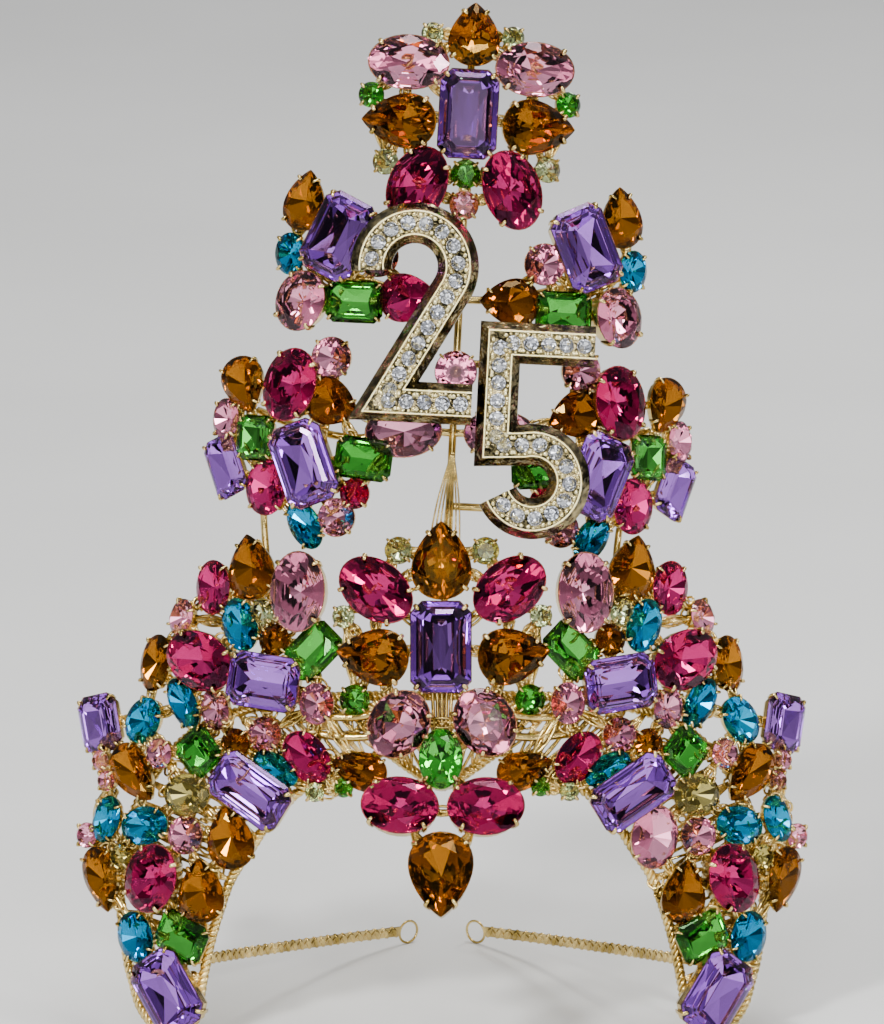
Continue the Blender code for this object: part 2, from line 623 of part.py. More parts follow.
def rear_band(side):
    """A flat braided band from the leg back to a wire ring that rests on the table."""
    name = "rear_band_left" if side < 0 else "rear_band_right"
    behind = -(2 * ROPE_RADIUS + 5 * PIECE_GAP)
    start = wall_point(*BAND_START, behind)
    y_shift = Vector((0, -FRONT_TO_ORIGIN, 0))
    route = [start] + [Vector(point) + y_shift for point in BAND_ROUTE]
    tall, thick = BAND_HEIGHT / 2, BAND_THICKNESS / 2
    rings = []
    for index, point in enumerate(route):
        along = route[min(index + 1, len(route) - 1)] - route[max(index - 1, 0)]
        flat = Vector((along.y, -along.x, 0)).normalized() * thick
        up = Vector((0, 0, tall))
        rings.append([point - flat - up, point + flat - up, point + flat + up, point - flat + up])
    ring_radius = (RING_OUTER - RING_WIRE) / 2
    band = loft(name, rings, CUTTERS)
    bpy.ops.mesh.primitive_torus_add(major_segments=12, minor_segments=6,
                                     major_radius=ring_radius * MM, minor_radius=RING_WIRE / 2 * MM)
    loop = bpy.context.object
    centre = Vector((*RING_CENTRE, RING_OUTER / 2)) + y_shift
    upright = Matrix.Rotation(RING_YAW, 4, "Z") @ Matrix.Rotation(math.pi / 2, 4, "X")
    loop.matrix_world = metres(Matrix.Translation(centre) @ upright)
    pieces = [band, loop]
    if side > 0:
        for piece in pieces:
            piece.data.transform(piece.matrix_world)
            piece.data.transform(Matrix.Scale(-1, 4, (1, 0, 0)))
            piece.data.flip_normals()
            piece.matrix_world = Matrix.Identity(4)
    return fuse(name, "gold", pieces)


def side_strut(side):
    """The rod that carries a middle wing on the side field below it."""
    u, v, h = SIDE_STRUT_TOP
    points = [wall_point(*askew(u * side, v), h)]
    points += [wall_point(u * side, v, h) for u, v, h in SIDE_STRUT_ROUTE]
    return tube("side_strut", points, SIDE_STRUT_RADIUS, CUTTERS)


clear_scene()
PARTS = new_collection("carnival_crown")
CUTTERS = new_collection("carnival_crown_pieces")
ROOT = bpy.data.objects.new("carnival_crown_origin", None)
PARTS.objects.link(ROOT)

GROUPS = {
    "top_rosette": seats_of(TOP_ROSETTE, "top_rosette", (-1, 1), askew),
    "centre_rosette": seats_of(CENTRE_ROSETTE, "centre_rosette", (-1, 1), level)
    + seats_of(DROP, "centre_rosette", (-1, 1), level, drop=True),
}
for suffix, direction in (("left", -1), ("right", 1)):
    for base, chart, shift in (("upper_wing", UPPER_WING, askew), ("middle_wing", MIDDLE_WING, askew),
                               ("side_field", SIDE_FIELD, level)):
        node = f"{base}_{suffix}"
        GROUPS[node] = seats_of(chart, node, (direction,), shift)

ALL_SEATS = [seat for seats in GROUPS.values() for seat in seats]
for node, seats in GROUPS.items():
    extras = []
    if node.startswith("middle_wing"):
        extras.append(side_strut(-1 if node.endswith("left") else 1))
    field(node, seats, ALL_SEATS, extras)
band_rope()
spine()
numeral_two()
numeral_five()
rear_band(-1)
rear_band(1)
CUTTERS.hide_render = True
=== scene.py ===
"""Looks of the carnival crown: foil-backed cut stones in claw cups, twisted rope wire, braided
rear bands and pave numerals. Places are in millimetres in the crown's own wall coordinates:
u sideways, v up the wall, h out of it. Meshes are in metres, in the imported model's frame."""

import math
import random
from collections import namedtuple

import bmesh
import bpy
from mathutils import Matrix, Vector


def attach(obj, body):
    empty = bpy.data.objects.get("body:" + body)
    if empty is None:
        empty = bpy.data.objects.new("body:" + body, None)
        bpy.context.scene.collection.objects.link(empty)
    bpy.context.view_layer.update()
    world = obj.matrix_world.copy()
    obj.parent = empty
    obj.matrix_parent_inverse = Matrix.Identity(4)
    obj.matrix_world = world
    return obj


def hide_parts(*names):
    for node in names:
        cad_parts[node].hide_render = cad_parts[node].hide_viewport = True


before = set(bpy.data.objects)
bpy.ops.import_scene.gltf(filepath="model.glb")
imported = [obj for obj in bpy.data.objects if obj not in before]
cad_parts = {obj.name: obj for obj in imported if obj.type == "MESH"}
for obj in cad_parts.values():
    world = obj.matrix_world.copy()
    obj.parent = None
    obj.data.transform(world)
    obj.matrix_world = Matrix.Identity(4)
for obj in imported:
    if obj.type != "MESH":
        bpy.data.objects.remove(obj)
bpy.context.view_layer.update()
random.seed(25)

MM = 0.001

# The wall, as in the CAD: it leans back and bows round the head
WALL_LEAN = math.radians(15)
BASE_LIFT = 7.6
FRONT_TO_ORIGIN = 53.97
LEG_BOW_RADIUS, CROWN_BOW_RADIUS = 165.0, 105.0
LEG_TOP, CROWN_FOOT = 80.0, 150.0
ASKEW, ASKEW_PIVOT = math.radians(-2.9), 118.8
DROP_TOP, DROP_PITCH = 92.0, math.radians(20)

# Stones: the share of its seat that one fills, a corner's cut, half the girdle, and how far it tips
STONE_FIT = 0.985
CORNER_CUT = 0.19
GIRDLE_HALF = 0.12
TIP = math.radians(3.5)

# A brilliant's rings: shares of the girdle's outline, and of the height above or below it
TABLE_SHARE, STAR_SHARE, DEEP_SHARE = 0.60, 0.82, 0.80
STAR_RISE, DEEP_RISE = 0.62, 0.74

# Solder wires between the cups, and the thin wires and loops beside them
STRUT_HEIGHT, STRUT_START, STRUT_REACH, STRUT_MOST = 1.1, 0.35, 27.0, 5
STRUT_WIRE, STRUT_SWELL = 0.9, 0.55
THIN_WIRE, THIN_BOW, LOOP_LEAST, LOOP_MOST = 0.5, 1.5, 1.1, 1.9

# Heights over its seat of a main stone and of a small one, with its cup's wall and claws' width
Heights = namedtuple("Heights", "culet girdle table cup_wall claw_width")
MAIN = Heights(1.2, 7.0, 9.6, 0.35, 1.5)
SMALL = Heights(0.7, 3.4, 5.4, 0.25, 1.0)

Stone = namedtuple("Stone", "label shape u v length width spin colour main", defaults=("",))
OVAL, PEAR, OCTAGON, ROUND = "oval", "pear", "octagon", "round"
BROWN, PINK, ROSE, PURPLE = "topaz", "light_pink", "ruby", "amethyst"
GREEN, PALE, BLUE, SMOKE, CLEAR = "emerald", "peridot", "aqua", "smoke", "clear"

# One row a stone. Off the axis a row stands for a mirrored pair: u is its distance from the
# axis, and spin, counter-clockwise from upright, is that of the left one. A name at the end is
# the node of a raised main stone.
TOP_ROSETTE = (
    ("T1", PEAR, 0, 303.2, 19.5, 16, 0, BROWN, "crest_pear"),
    ("T2", ROUND, 12, 303.3, 7, 7, 0, PALE),
    ("T3", OVAL, 19.2, 293.7, 25, 17, 90, PINK, "crest_oval"),
    ("T4", ROUND, 29.6, 284, 8, 8, 0, GREEN),
    ("T5", PEAR, 20.9, 276.8, 23, 17, 90, BROWN, "crest_side_pear"),
    ("T6", OCTAGON, 0, 279.8, 27.4, 18.2, 0, PURPLE, "crest_octagon"),
    ("T7", ROUND, 24.3, 264.1, 8, 8, 0, PALE),
    ("T8", OVAL, 14.1, 257.5, 25, 18, -22, ROSE, "crest_lower_oval"),
    ("T9", ROUND, 0, 261.5, 9, 9, 0, GREEN),
    ("T10", ROUND, 0, 252.2, 9, 9, 0, PINK),
)
UPPER_WING = (
    ("B1", PEAR, 47.8, 251.4, 19, 14, -8, BROWN),
    ("B2", OCTAGON, 37.6, 241.5, 26, 18, -25, PURPLE, "upper_octagon"),
    ("B3", OVAL, 51.8, 235.6, 13, 10, 0, BLUE),
    ("B4", OVAL, 47.9, 221, 19, 16, -18, PINK, "upper_oval"),
    ("B5", OCTAGON, 31.5, 221.8, 18, 13, 90, GREEN),
    ("B6", PEAR, 14.8, 223.8, 19, 15, -90, ROSE),
    ("B7", ROUND, 25, 236, 13, 13, 0, PINK),
)
MIDDLE_WING = (
    ("C1", PEAR, 64, 195.5, 18, 15, 200, BROWN),
    ("C2", OVAL, 50.1, 195.8, 23, 17, -15, ROSE, "middle_oval"),
    ("C3", ROUND, 37.5, 204.6, 13, 13, 0, PINK),
    ("C4", PEAR, 36.6, 191.4, 18, 15, -110, BROWN),
    ("C5", OCTAGON, 59.6, 179.6, 14, 13, 0, GREEN),
    ("C6", OVAL, 68.8, 184.8, 13, 10, 0, PINK),
    ("C7", OCTAGON, 68.1, 170.7, 19, 13, 25, PURPLE),
    ("C8", OVAL, 55.5, 164.8, 17.5, 14, 0, ROSE),
    ("C9", OCTAGON, 44.6, 172.8, 26, 18, 22, PURPLE, "middle_octagon"),
    ("C10", OCTAGON, 26.4, 175, 18, 13, 85, GREEN),
    ("C11", ROUND, 28.4, 164.5, 9.5, 9.5, 0, ROSE),
    ("C12", ROUND, 33.6, 156.8, 12, 12, 0, PINK),
    ("C13", OVAL, 43.3, 154.2, 16, 10, 32, BLUE),
    ("C14", OVAL, 14.7, 183.5, 24, 16, 95, PINK),
)
SPINE_STONE = (("C15", ROUND, 0, 202.2, 13, 13, 0, PINK),)
CENTRE_ROSETTE = (
    ("D1", PEAR, 0, 145.8, 24, 18.5, 0, BROWN, "centre_pear"),
    ("D2", ROUND, 13.2, 148.7, 8.5, 8.5, 0, PALE),
    ("D3", OVAL, 20.2, 136.8, 25, 18, 54, ROSE, "centre_oval"),
    ("D4", OCTAGON, 0, 119.9, 28.2, 18.8, 0, PURPLE, "centre_octagon"),
    ("D5", PEAR, 21.2, 117.2, 22.5, 17.5, 82, BROWN, "centre_side_pear"),
    ("D7", OVAL, 13.2, 97, 22, 18.5, -35, PINK, "centre_lower_oval"),
    ("D8", ROUND, 26.3, 104, 9.5, 9.5, 0, GREEN),
)
DROP = (
    ("D9", OVAL, 0, 83.6, 19.5, 13.5, 0, GREEN, "drop_small_oval"),
    ("D10", OVAL, 12.2, 68.7, 24, 18.5, 84, ROSE, "drop_oval"),
    ("D11", PEAR, 0, 47.2, 27.5, 20, 180, BROWN, "drop_pear"),
)
SIDE_FIELD = (
    ("E1", PEAR, 57.6, 143.4, 20.5, 17, 10, BROWN),
    ("E2", OVAL, 69.2, 137.3, 17, 13, 0, ROSE),
    ("E3", OVAL, 43.5, 135.9, 25, 18, 0, PINK, "side_oval"),
    ("E4", OVAL, 60.9, 126, 17, 12, 20, BLUE),
    ("E5", ROUND, 54.2, 130.2, 8.5, 8.5, 0, PALE),
    ("E6", ROUND, 50.6, 121.6, 10, 10, 0, BROWN),
    ("E7", OCTAGON, 38.7, 118.7, 18, 13, -45, GREEN),
    ("E9", OCTAGON, 53.6, 108.9, 24, 17, 82, PURPLE, "side_octagon"),
    ("E10", OVAL, 37.7, 102.6, 13, 11, 0, PINK),
    ("E11", OVAL, 73.5, 115.5, 24, 18, 68, ROSE, "side_outer_oval"),
    ("E12", OVAL, 78.9, 128.4, 12, 9, -30, PINK),
    ("E13", OVAL, 86.9, 114.2, 18, 12, -12, BROWN),
    ("E14", OVAL, 78.2, 102.5, 17, 10, 30, BLUE),
    ("E15", OVAL, 68.3, 100.8, 13, 10, 10, PINK),
    ("E16", ROUND, 53.4, 93.2, 11, 11, 0, PINK),
    ("E17", ROUND, 62.3, 90.3, 9.5, 9.5, 0, BROWN),
    ("F1", OCTAGON, 104.4, 96, 18, 16, 10, PURPLE),
    ("F2", OVAL, 90.8, 97, 16, 12, -40, BLUE),
    ("F3", ROUND, 85.7, 87, 9.5, 9.5, 0, PINK),
    ("F4", PEAR, 93.5, 80.9, 21, 14, -140, BROWN),
    ("F6", OCTAGON, 73.4, 87.8, 14, 13.5, 40, GREEN),
    ("F7", OVAL, 77, 74.9, 16, 13, 90, SMOKE),
    ("F8", OCTAGON, 57.6, 76.2, 27, 16, 57, PURPLE, "temple_octagon"),
    ("F9", OVAL, 50, 83, 16, 9, 60, BLUE),
    ("F10", OVAL, 40.8, 86.6, 18, 13, 40, ROSE),
    ("F11", PEAR, 24.9, 82.8, 18, 12, 72, BROWN),
    ("G1", OVAL, 102.2, 66.9, 15, 10, -20, BLUE),
    ("G2", OVAL, 90.2, 65.4, 17, 12, 100, BLUE),
    ("G3", ROUND, 77.6, 62.4, 12, 12, 0, PINK),
    ("G4", PEAR, 63.9, 62.4, 20, 16, 10, BROWN),
    ("G5", OVAL, 88.2, 49.7, 22, 18, -25, ROSE, "leg_oval"),
    ("G6", PEAR, 103.8, 48.6, 21, 13, 195, BROWN),
    ("G7", PEAR, 73, 45.8, 20, 15.5, 5, BROWN),
    ("G8", ROUND, 108.3, 61.7, 8, 8, 0, PINK),
    ("G9", OVAL, 93, 31.5, 16, 13, 20, BLUE),
    ("G10", OCTAGON, 78.6, 31.8, 18, 13, 65, GREEN),
    ("G11", OCTAGON, 83.4, 15, 26, 18, 33, PURPLE, "leg_octagon"),
)

# The finest stones, which the CAD leaves out
CENTRE_FINE = (("D6", ROUND, 29.7, 128.9, 7, 7, 0, PALE),)
SIDE_FINE = (
    ("F5", ROUND, 103.7, 84.6, 6.5, 6.5, 0, PINK),
    ("F5b", ROUND, 102.0, 78.6, 6.5, 6.5, 0, PINK),
    ("F12", ROUND, 38.4, 76.2, 6, 6, 0, PALE),
    ("F12a", ROUND, 29.4, 77.6, 6, 6, 0, GREEN),
    ("G12", ROUND, 97.6, 55.6, 8, 8, 0, SMOKE),
)

# Right-hand twins that differ from their left one: shape and colour
RIGHT_TWINS = {"B6": (PEAR, BROWN), "G4": (OVAL, PINK)}
SIDE_NAMES = {-1: "_left", 0: "", 1: "_right"}

# The right half of the rope: its two edges, round the face and round the outside of the band
FACE_EDGE = (
    (81, 0.6), (75.6, 6.6), (73.2, 18.3), (71.1, 28.8), (68.1, 39.3), (64.2, 49.8), (58.2, 58.8),
    (53.1, 66.3), (42.6, 76.8), (32, 80), (22, 86), (17, 88), (10, 83.5), (0, 78),
)
OUTER_EDGE = (
    (84.6, 0.6), (92.1, 9.3), (95.1, 18.3), (97.2, 27.3), (99, 45), (97, 62), (90, 78), (78, 92),
    (62, 100), (40, 104), (20, 105), (0, 105),
)
ROPE_STRANDS, ROPE_REACH, ROPE_WIRE, ROPE_PITCH = 3, 0.90, 0.84, 5.6
ROPE_DEPTH, ROPE_STEP = -1.8, 0.75

# A leg tip's pad: half its length and width, and the share of them and the height of each ring
PAD_LENGTH, PAD_WIDTH = 4.2, 2.4
PAD_RINGS = ((0.94, 0.0), (1.0, 0.3), (1.0, 1.2), (0.92, 1.9), (0.7, 2.3))

# The spine, its branches, the rod behind its own stone, and the struts down to the side fields
SPINE_WIRE, SPINE_DEPTH, STONE_ROD = 1.2, -1.5, (1.5, -1.5)
SPINE_ROD = ((0, 107.5), (0, 200), (0, 299))
SPINE_BRANCHES = (
    ((0, 224), (15, 225), (30, 229), (46, 233)),
    ((0, 184), (15, 184), (30, 181), (48, 184), (60, 188)),
)
POST_BRANCHES = (((0, 162), (17, 162)), ((0, 205), (15, 205)))
SIDE_STRUT_TOP = (55.5, 164.8, 1.5)
SIDE_STRUT_ROUTE = ((54.5, 155, -1.7), (52, 127, -1.7))
SIDE_STRUT_WIRE = 1.1

# Thin wires to and fro between the rope's two edges, and small loops on all the wires there
LATTICE, LATTICE_HEIGHT = 26, -1.2
NEST_LOOPS, NEST_LEAST, NEST_MOST, NEST_WIRE, NEST_TIP, NEST_OFF = 300, 1.2, 2.8, 0.42, 1.0, 1.3

# Short rods from the centre rosette to the side fields, and fins under its octagon
CENTRE_RODS = (((14, 101, 1.5), (27, 98.5, 1.2), (41, 99.5, 0.5)),
               ((14, 94, 1.0), (26, 92.5, 1.0), (38, 93.5, 0.5)))
CENTRE_FINS = (-3.0, -1.5, 0.0, 1.5, 3.0)
FIN_TOP, FIN_FOOT, FIN_HEIGHT, FIN_GATHER = 109.0, 91.0, 1.0, 0.7
ROD_WIRE, FIN_WIRE = 1.3, 0.6

# Thin wires that fan out from the spine down behind the centre pear
FAN_TOP, FAN_FOOT, FAN_WIRES, FAN_HEIGHT, FAN_WIRE = (0.2, 178.0), (-1.0, 148.0), 8, 0.4, 0.28
FAN_TOP_SPREAD, FAN_SPREAD, FAN_BULGE = 0.6, 9.5, 1.5

# The left rear band, its core's half section and its ring
BAND_START = (-71.6, 25.3, -4.5)
BAND_ROUTE = ((-57.6, 52.5, 20.3), (-42.6, 79.3, 13.9), (-27.6, 103.0, 8.4), (-13.3, 120.1, 4.7))
CORE_THICK, CORE_TALL = 0.35, 1.5
RING_CENTRE, RING_YAW, RING_OUTER, RING_WIRE = (-10.6, 122.2), math.radians(38), 7.8, 0.8

# Its ribs, the steps of its route to a rib's pitch, and those left bare before the ring
RIB_PITCH, RIB_LENGTH, RIB_WIDTH, RIB_THICK, RIB_OFF = 4.2, 4.4, 2.5, 1.7, 0.15
RIB_SLANT = math.radians(32)
BAND_STEPS, BARE_STEPS = 8, 4

# Numerals: the stroke, and each one's lower left corner, posts and middle line
STROKE_WIDTH, STROKE_DEPTH, NUMERAL_BACK, POST_WIRE = 12.4, 5.0, 11.0, 1.0
MITRE_LEAST = 0.45
TWO_CORNER, TWO_POSTS = (-33.4, 186.3), ((0, 192.8), (0, 234.8))
TWO_BOWL = {"centre": (19.5, 46.7), "radius": 13.0, "start": 188, "end": -26.5, "steps": 36}
TWO_FOOT = ((12, 6.2), (38.5, 6.2))
FIVE_CORNER, FIVE_POSTS = (6.6, 153.3), ((17, 162), (14.9, 205))
FIVE_FLAG = ((34.5, 58.3), (6.2, 58.3), (6.2, 27.5))
FIVE_BOWL = {"centre": (17.7, 17.3), "radius": 11.1, "start": 105, "end": -155, "steps": 40}

# The channel and its stones: their girdles' height over its floor, and how far they reach below
# and above them, and may tip and turn
PAVE_HALF, PAVE_DEPTH, PAVE_PITCH, PAVE_STONE = 3.3, 1.5, 5.4, 4.5
PAVE_GIRDLE, PAVE_UNDER, PAVE_OVER = 1.1, 1.05, 0.7
PAVE_TIP, PAVE_TURN = math.radians(17), 0.7

# Pins round a pave stone, large and small: radius, and how far along and aside of the stone
PIN_HEIGHT, LARGE_PIN, SMALL_PIN = 0.9, (0.80, 2.25, 2.2), (0.58, 0.8, 2.8)

# Frame of the wall before it bows, and the turn that makes its z look outwards
WALL = Matrix.Translation((0, -FRONT_TO_ORIGIN, BASE_LIFT)) @ Matrix.Rotation(-WALL_LEAN, 4, "X")
FACE = Matrix.Rotation(math.pi / 2, 4, "X")


# Places on the wall

def wall_radius(v):
    """The bow's radius at this height."""
    share = min(max((v - LEG_TOP) / (CROWN_FOOT - LEG_TOP), 0.0), 1.0)
    return LEG_BOW_RADIUS + share * (CROWN_BOW_RADIUS - LEG_BOW_RADIUS)


def wall_frame(u, v):
    """Frame of the wall's point (u, v), in millimetres: x sideways, y up, z outwards."""
    radius = wall_radius(v)
    yaw = math.asin(u / radius)
    seat = Matrix.Translation((u, radius - radius * math.cos(yaw), v))
    return WALL @ seat @ Matrix.Rotation(yaw, 4, "Z") @ FACE


def wall_point(u, v, h):
    """The wall's point (u, v), this far out of it."""
    return wall_frame(u, v) @ Vector((0, 0, h))


def askew(u, v):
    """Where a place of the upper tiers, which lean sideways, ends up."""
    turned = Matrix.Rotation(ASKEW, 2) @ Vector((u, v - ASKEW_PIVOT))
    return turned.x, turned.y + ASKEW_PIVOT


def tipped(most):
    """A chance tilt of no more than this about both flat axes."""
    across = Matrix.Rotation(random.uniform(-most, most), 4, "X")
    return across @ Matrix.Rotation(random.uniform(-most, most), 4, "Y")


Seat = namedtuple("Seat", "stone side frame heights")


def seats_of(stones, sides, lean=False, drop=False):
    """Where each stone of a chart stands: side is -1 left, 0 on the axis and 1 right."""
    seats = []
    for stone in (Stone(*row) for row in stones):
        heights = MAIN if stone.main else SMALL
        for side in ((0,) if stone.u == 0 else sides):
            turn = math.radians(stone.spin) * (-1 if side > 0 else 1)
            u, v = stone.u * side, stone.v
            if lean:
                u, v = askew(u, v)
                turn += ASKEW
            # The foot stands further in than the girdle, which is seen at u from the front
            u /= 1 + heights.girdle / wall_radius(v)
            if drop:
                place = wall_frame(u, DROP_TOP) @ Matrix.Rotation(-DROP_PITCH, 4, "X")
                place = place @ Matrix.Translation((0, v - DROP_TOP, 0))
            else:
                place = wall_frame(u, v)
            place = place @ tipped(TIP) @ Matrix.Rotation(turn, 4, "Z")
            shown = stone
            if side > 0 and stone.label in RIGHT_TWINS:
                shape, colour = RIGHT_TWINS[stone.label]
                shown = stone._replace(shape=shape, colour=colour)
            seats.append(Seat(shown, side, place, heights))
    return seats


# Objects, and meshes from lists of points and faces

def put(name, data):
    """A new object in the scene."""
    made = bpy.data.objects.new(name, data)
    bpy.context.scene.collection.objects.link(made)
    return made


class Shape:
    """Collects points and faces, each face with its material's index, for one joined mesh."""

    def __init__(self):
        self.points, self.faces, self.finish, self.smooth = [], [], [], []

    def add(self, points, faces, place=None, finish=0, smooth=False):
        start = len(self.points)
        self.points += [(place @ p if place else p) * MM for p in points]
        for index, face in enumerate(faces):
            self.faces.append([start + n for n in face])
            self.finish.append(finish[index] if isinstance(finish, list) else finish)
            self.smooth.append(smooth)

    def add_wire(self, path, radius, sides=8, closed=False, taper=None):
        """A round wire along a path, smooth all over."""
        self.add(*wire(path, radius, sides, closed, taper), smooth=True)

    def make(self, name, materials, slot, *nodes):
        """The piece as an object that rides on the crown and stands for these nodes."""
        mesh = bpy.data.meshes.new(name)
        mesh.from_pydata([tuple(p) for p in self.points], [], self.faces)
        for each in materials:
            mesh.materials.append(each)
        mesh.polygons.foreach_set("material_index", self.finish)
        mesh.polygons.foreach_set("use_smooth", self.smooth)
        outward = bmesh.new()
        outward.from_mesh(mesh)
        bmesh.ops.recalc_face_normals(outward, faces=outward.faces)
        outward.to_mesh(mesh)
        outward.free()
        piece = put(name, mesh)
        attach(piece, "root")
        if nodes:
            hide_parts(*nodes)


def full_turn(count):
    """Angles at even steps round a full turn."""
    return [2 * math.pi * n / count for n in range(count)]


def oval_path(place, across, tall):
    """Points round an oval in the flat plane of a frame."""
    return [place @ Vector((across * math.cos(t), tall * math.sin(t), 0)) for t in full_turn(14)]


def lofted(rings, closed_ends=True):
    """Faces between rings of equally many points, and the points as one list."""
    count = len(rings[0])
    points = [p for ring in rings for p in ring]
    faces = []
    for row in range(len(rings) - 1):
        a, b = row * count, (row + 1) * count
        faces += [(a + n, a + (n + 1) % count, b + (n + 1) % count, b + n) for n in range(count)]
    if closed_ends:
        faces.append(tuple(reversed(range(count))))
        faces.append(tuple(range(len(points) - count, len(points))))
    return points, faces


def smooth_path(points, spacing, closed=False):
    """Points read at about this spacing from a smooth curve through these."""
    count = len(points)
    path = []
    for index in range(count if closed else count - 1):
        near = [points[(index + k) % count] if closed else points[min(max(index + k, 0), count - 1)]
                for k in (-1, 0, 1, 2)]
        steps = max(2, round((near[2] - near[1]).length / spacing))
        for step in range(steps):
            t = step / steps
            path.append(0.5 * (2 * near[1] + (near[2] - near[0]) * t
                               + (2 * near[0] - 5 * near[1] + 4 * near[2] - near[3]) * t * t
                               + (3 * near[1] - near[0] - 3 * near[2] + near[3]) * t ** 3))
    if not closed:
        path.append(points[-1])
    return path


def frames_along(path, closed=False):
    """A turning-free pair of side directions at each point of a path."""
    count = len(path)
    sides = []
    side = None
    for index in range(count):
        before = path[index - 1] if closed or index else path[index]
        after = path[(index + 1) % count] if closed or index + 1 < count else path[index]
        along = (after - before).normalized()
        if side is None:
            side = along.orthogonal()
        side = (side - along * side.dot(along)).normalized()
        sides.append((side, along.cross(side)))
    return sides


def wire(path, radius, sides=8, closed=False, taper=None):
    """Points and faces of a round wire along a path."""
    rings = []
    for index, (point, (a, b)) in enumerate(zip(path, frames_along(path, closed))):
        size = radius * (taper(index / (len(path) - 1)) if taper else 1)
        rings.append([point + (a * math.cos(t) + b * math.sin(t)) * size for t in full_turn(sides)])
    if closed:
        rings.append(rings[0])
    return lofted(rings, not closed)


def rope_strands(path):
    """Paths of the rope's strands, laid round each other along a closed path."""
    sides_along = frames_along(path, True)
    length, travelled = 0.0, []
    for index, point in enumerate(path):
        travelled.append(length)
        length += (path[(index + 1) % len(path)] - point).length
    turns = round(length / ROPE_PITCH)
    made = []
    for strand in range(ROPE_STRANDS):
        route = []
        for point, (a, b), gone in zip(path, sides_along, travelled):
            t = 2 * math.pi * (turns * gone / length + strand / ROPE_STRANDS)
            route.append(point + (a * math.cos(t) + b * math.sin(t)) * ROPE_REACH)
        made.append(route)
    return made


# Finishes

def set_inputs(node, values):
    """Sets a node's sockets by their names."""
    for name, value in values.items():
        node.inputs[name].default_value = value


def new_node(owner, kind, values):
    """A shader node of a material or the world, with these sockets set."""
    node = owner.node_tree.nodes.new("ShaderNode" + kind)
    set_inputs(node, values)
    return node


def new_material(name, base, roughness, metallic=0.0):
    made = bpy.data.materials.new(name)
    made.use_nodes = True
    shader = made.node_tree.nodes["Principled BSDF"]
    set_inputs(shader, {"Base Color": (*base, 1), "Roughness": roughness, "Metallic": metallic})
    return made, shader


def new_noise(made, scale, detail):
    """Soft noise that is fixed to the object."""
    place = new_node(made, "TexCoord", {})
    noise = new_node(made, "TexNoise", {"Scale": scale, "Detail": detail})
    made.node_tree.links.new(place.outputs["Object"], noise.inputs["Vector"])
    return noise


def new_ramp(owner, stops):
    """A colour ramp through these positions and colours, in a material's or the world's nodes."""
    ramp = new_node(owner, "ValToRGB", {})
    elements = ramp.color_ramp.elements
    while len(elements) < len(stops):
        elements.new(1.0)
    for element, (position, colour) in zip(elements, stops):
        element.position = position
        element.color = (*colour, 1)
    return ramp


def mottle(made, shader, dark, light, scale, low=0.35, high=0.65, detail=4.0):
    """Drives the base colour between two colours by soft noise."""
    links = made.node_tree.links
    noise = new_noise(made, scale, detail)
    ramp = new_ramp(made, ((low, dark), (high, light)))
    links.new(noise.outputs["Fac"], ramp.inputs["Fac"])
    links.new(ramp.outputs["Color"], shader.inputs["Base Color"])
    return noise


def rough_by(made, shader, noise, low, high):
    """Drives the roughness by the same noise."""
    spread = new_node(made, "MapRange", {"From Min": 0.3, "From Max": 0.7,
                                         "To Min": low, "To Max": high})
    made.node_tree.links.new(noise.outputs["Fac"], spread.inputs["Value"])
    made.node_tree.links.new(spread.outputs["Result"], shader.inputs["Roughness"])


def bumped(made, shader, scale, strength, depth):
    """Fine grain from bump."""
    links = made.node_tree.links
    bump = new_node(made, "Bump", {"Strength": strength, "Distance": depth})
    links.new(new_noise(made, scale, 2.0).outputs["Fac"], bump.inputs["Height"])
    links.new(bump.outputs["Normal"], shader.inputs["Normal"])


def gold_finish():
    """Polished pale gold, mottled darker and paler at random, for the settings, wires and bands."""
    made, shader = new_material("pale_gold", (0.78, 0.62, 0.30), 0.25, metallic=1.0)
    noise = mottle(made, shader, (0.36, 0.25, 0.06), (0.88, 0.67, 0.27), scale=160)
    rough_by(made, shader, noise, low=0.12, high=0.32)
    bumped(made, shader, scale=900, strength=0.12, depth=0.0002)
    return made


def shaded_wall_material():
    """Dark hammered gold for the numerals' walls and channel floors: the dark is painted shade."""
    made, shader = new_material("antique_gold", (0.20, 0.16, 0.09), 0.12, metallic=1.0)
    noise = mottle(made, shader, (0.045, 0.038, 0.018), (0.42, 0.34, 0.17), scale=260,
                   low=0.42, high=0.66)
    rough_by(made, shader, noise, low=0.05, high=0.20)
    bumped(made, shader, scale=360, strength=0.6, depth=0.0010)
    return made


def lit_pave_material():
    """Bright pale gold for the numerals' rims and pins: the brightness is painted light."""
    made, shader = new_material("pave_gold_painted_light", (0.92, 0.80, 0.44), 0.25, metallic=0.85)
    noise = mottle(made, shader, (0.78, 0.64, 0.26), (1.0, 0.90, 0.50), scale=700,
                   low=0.40, high=0.60)
    rough_by(made, shader, noise, low=0.14, high=0.34)
    return made


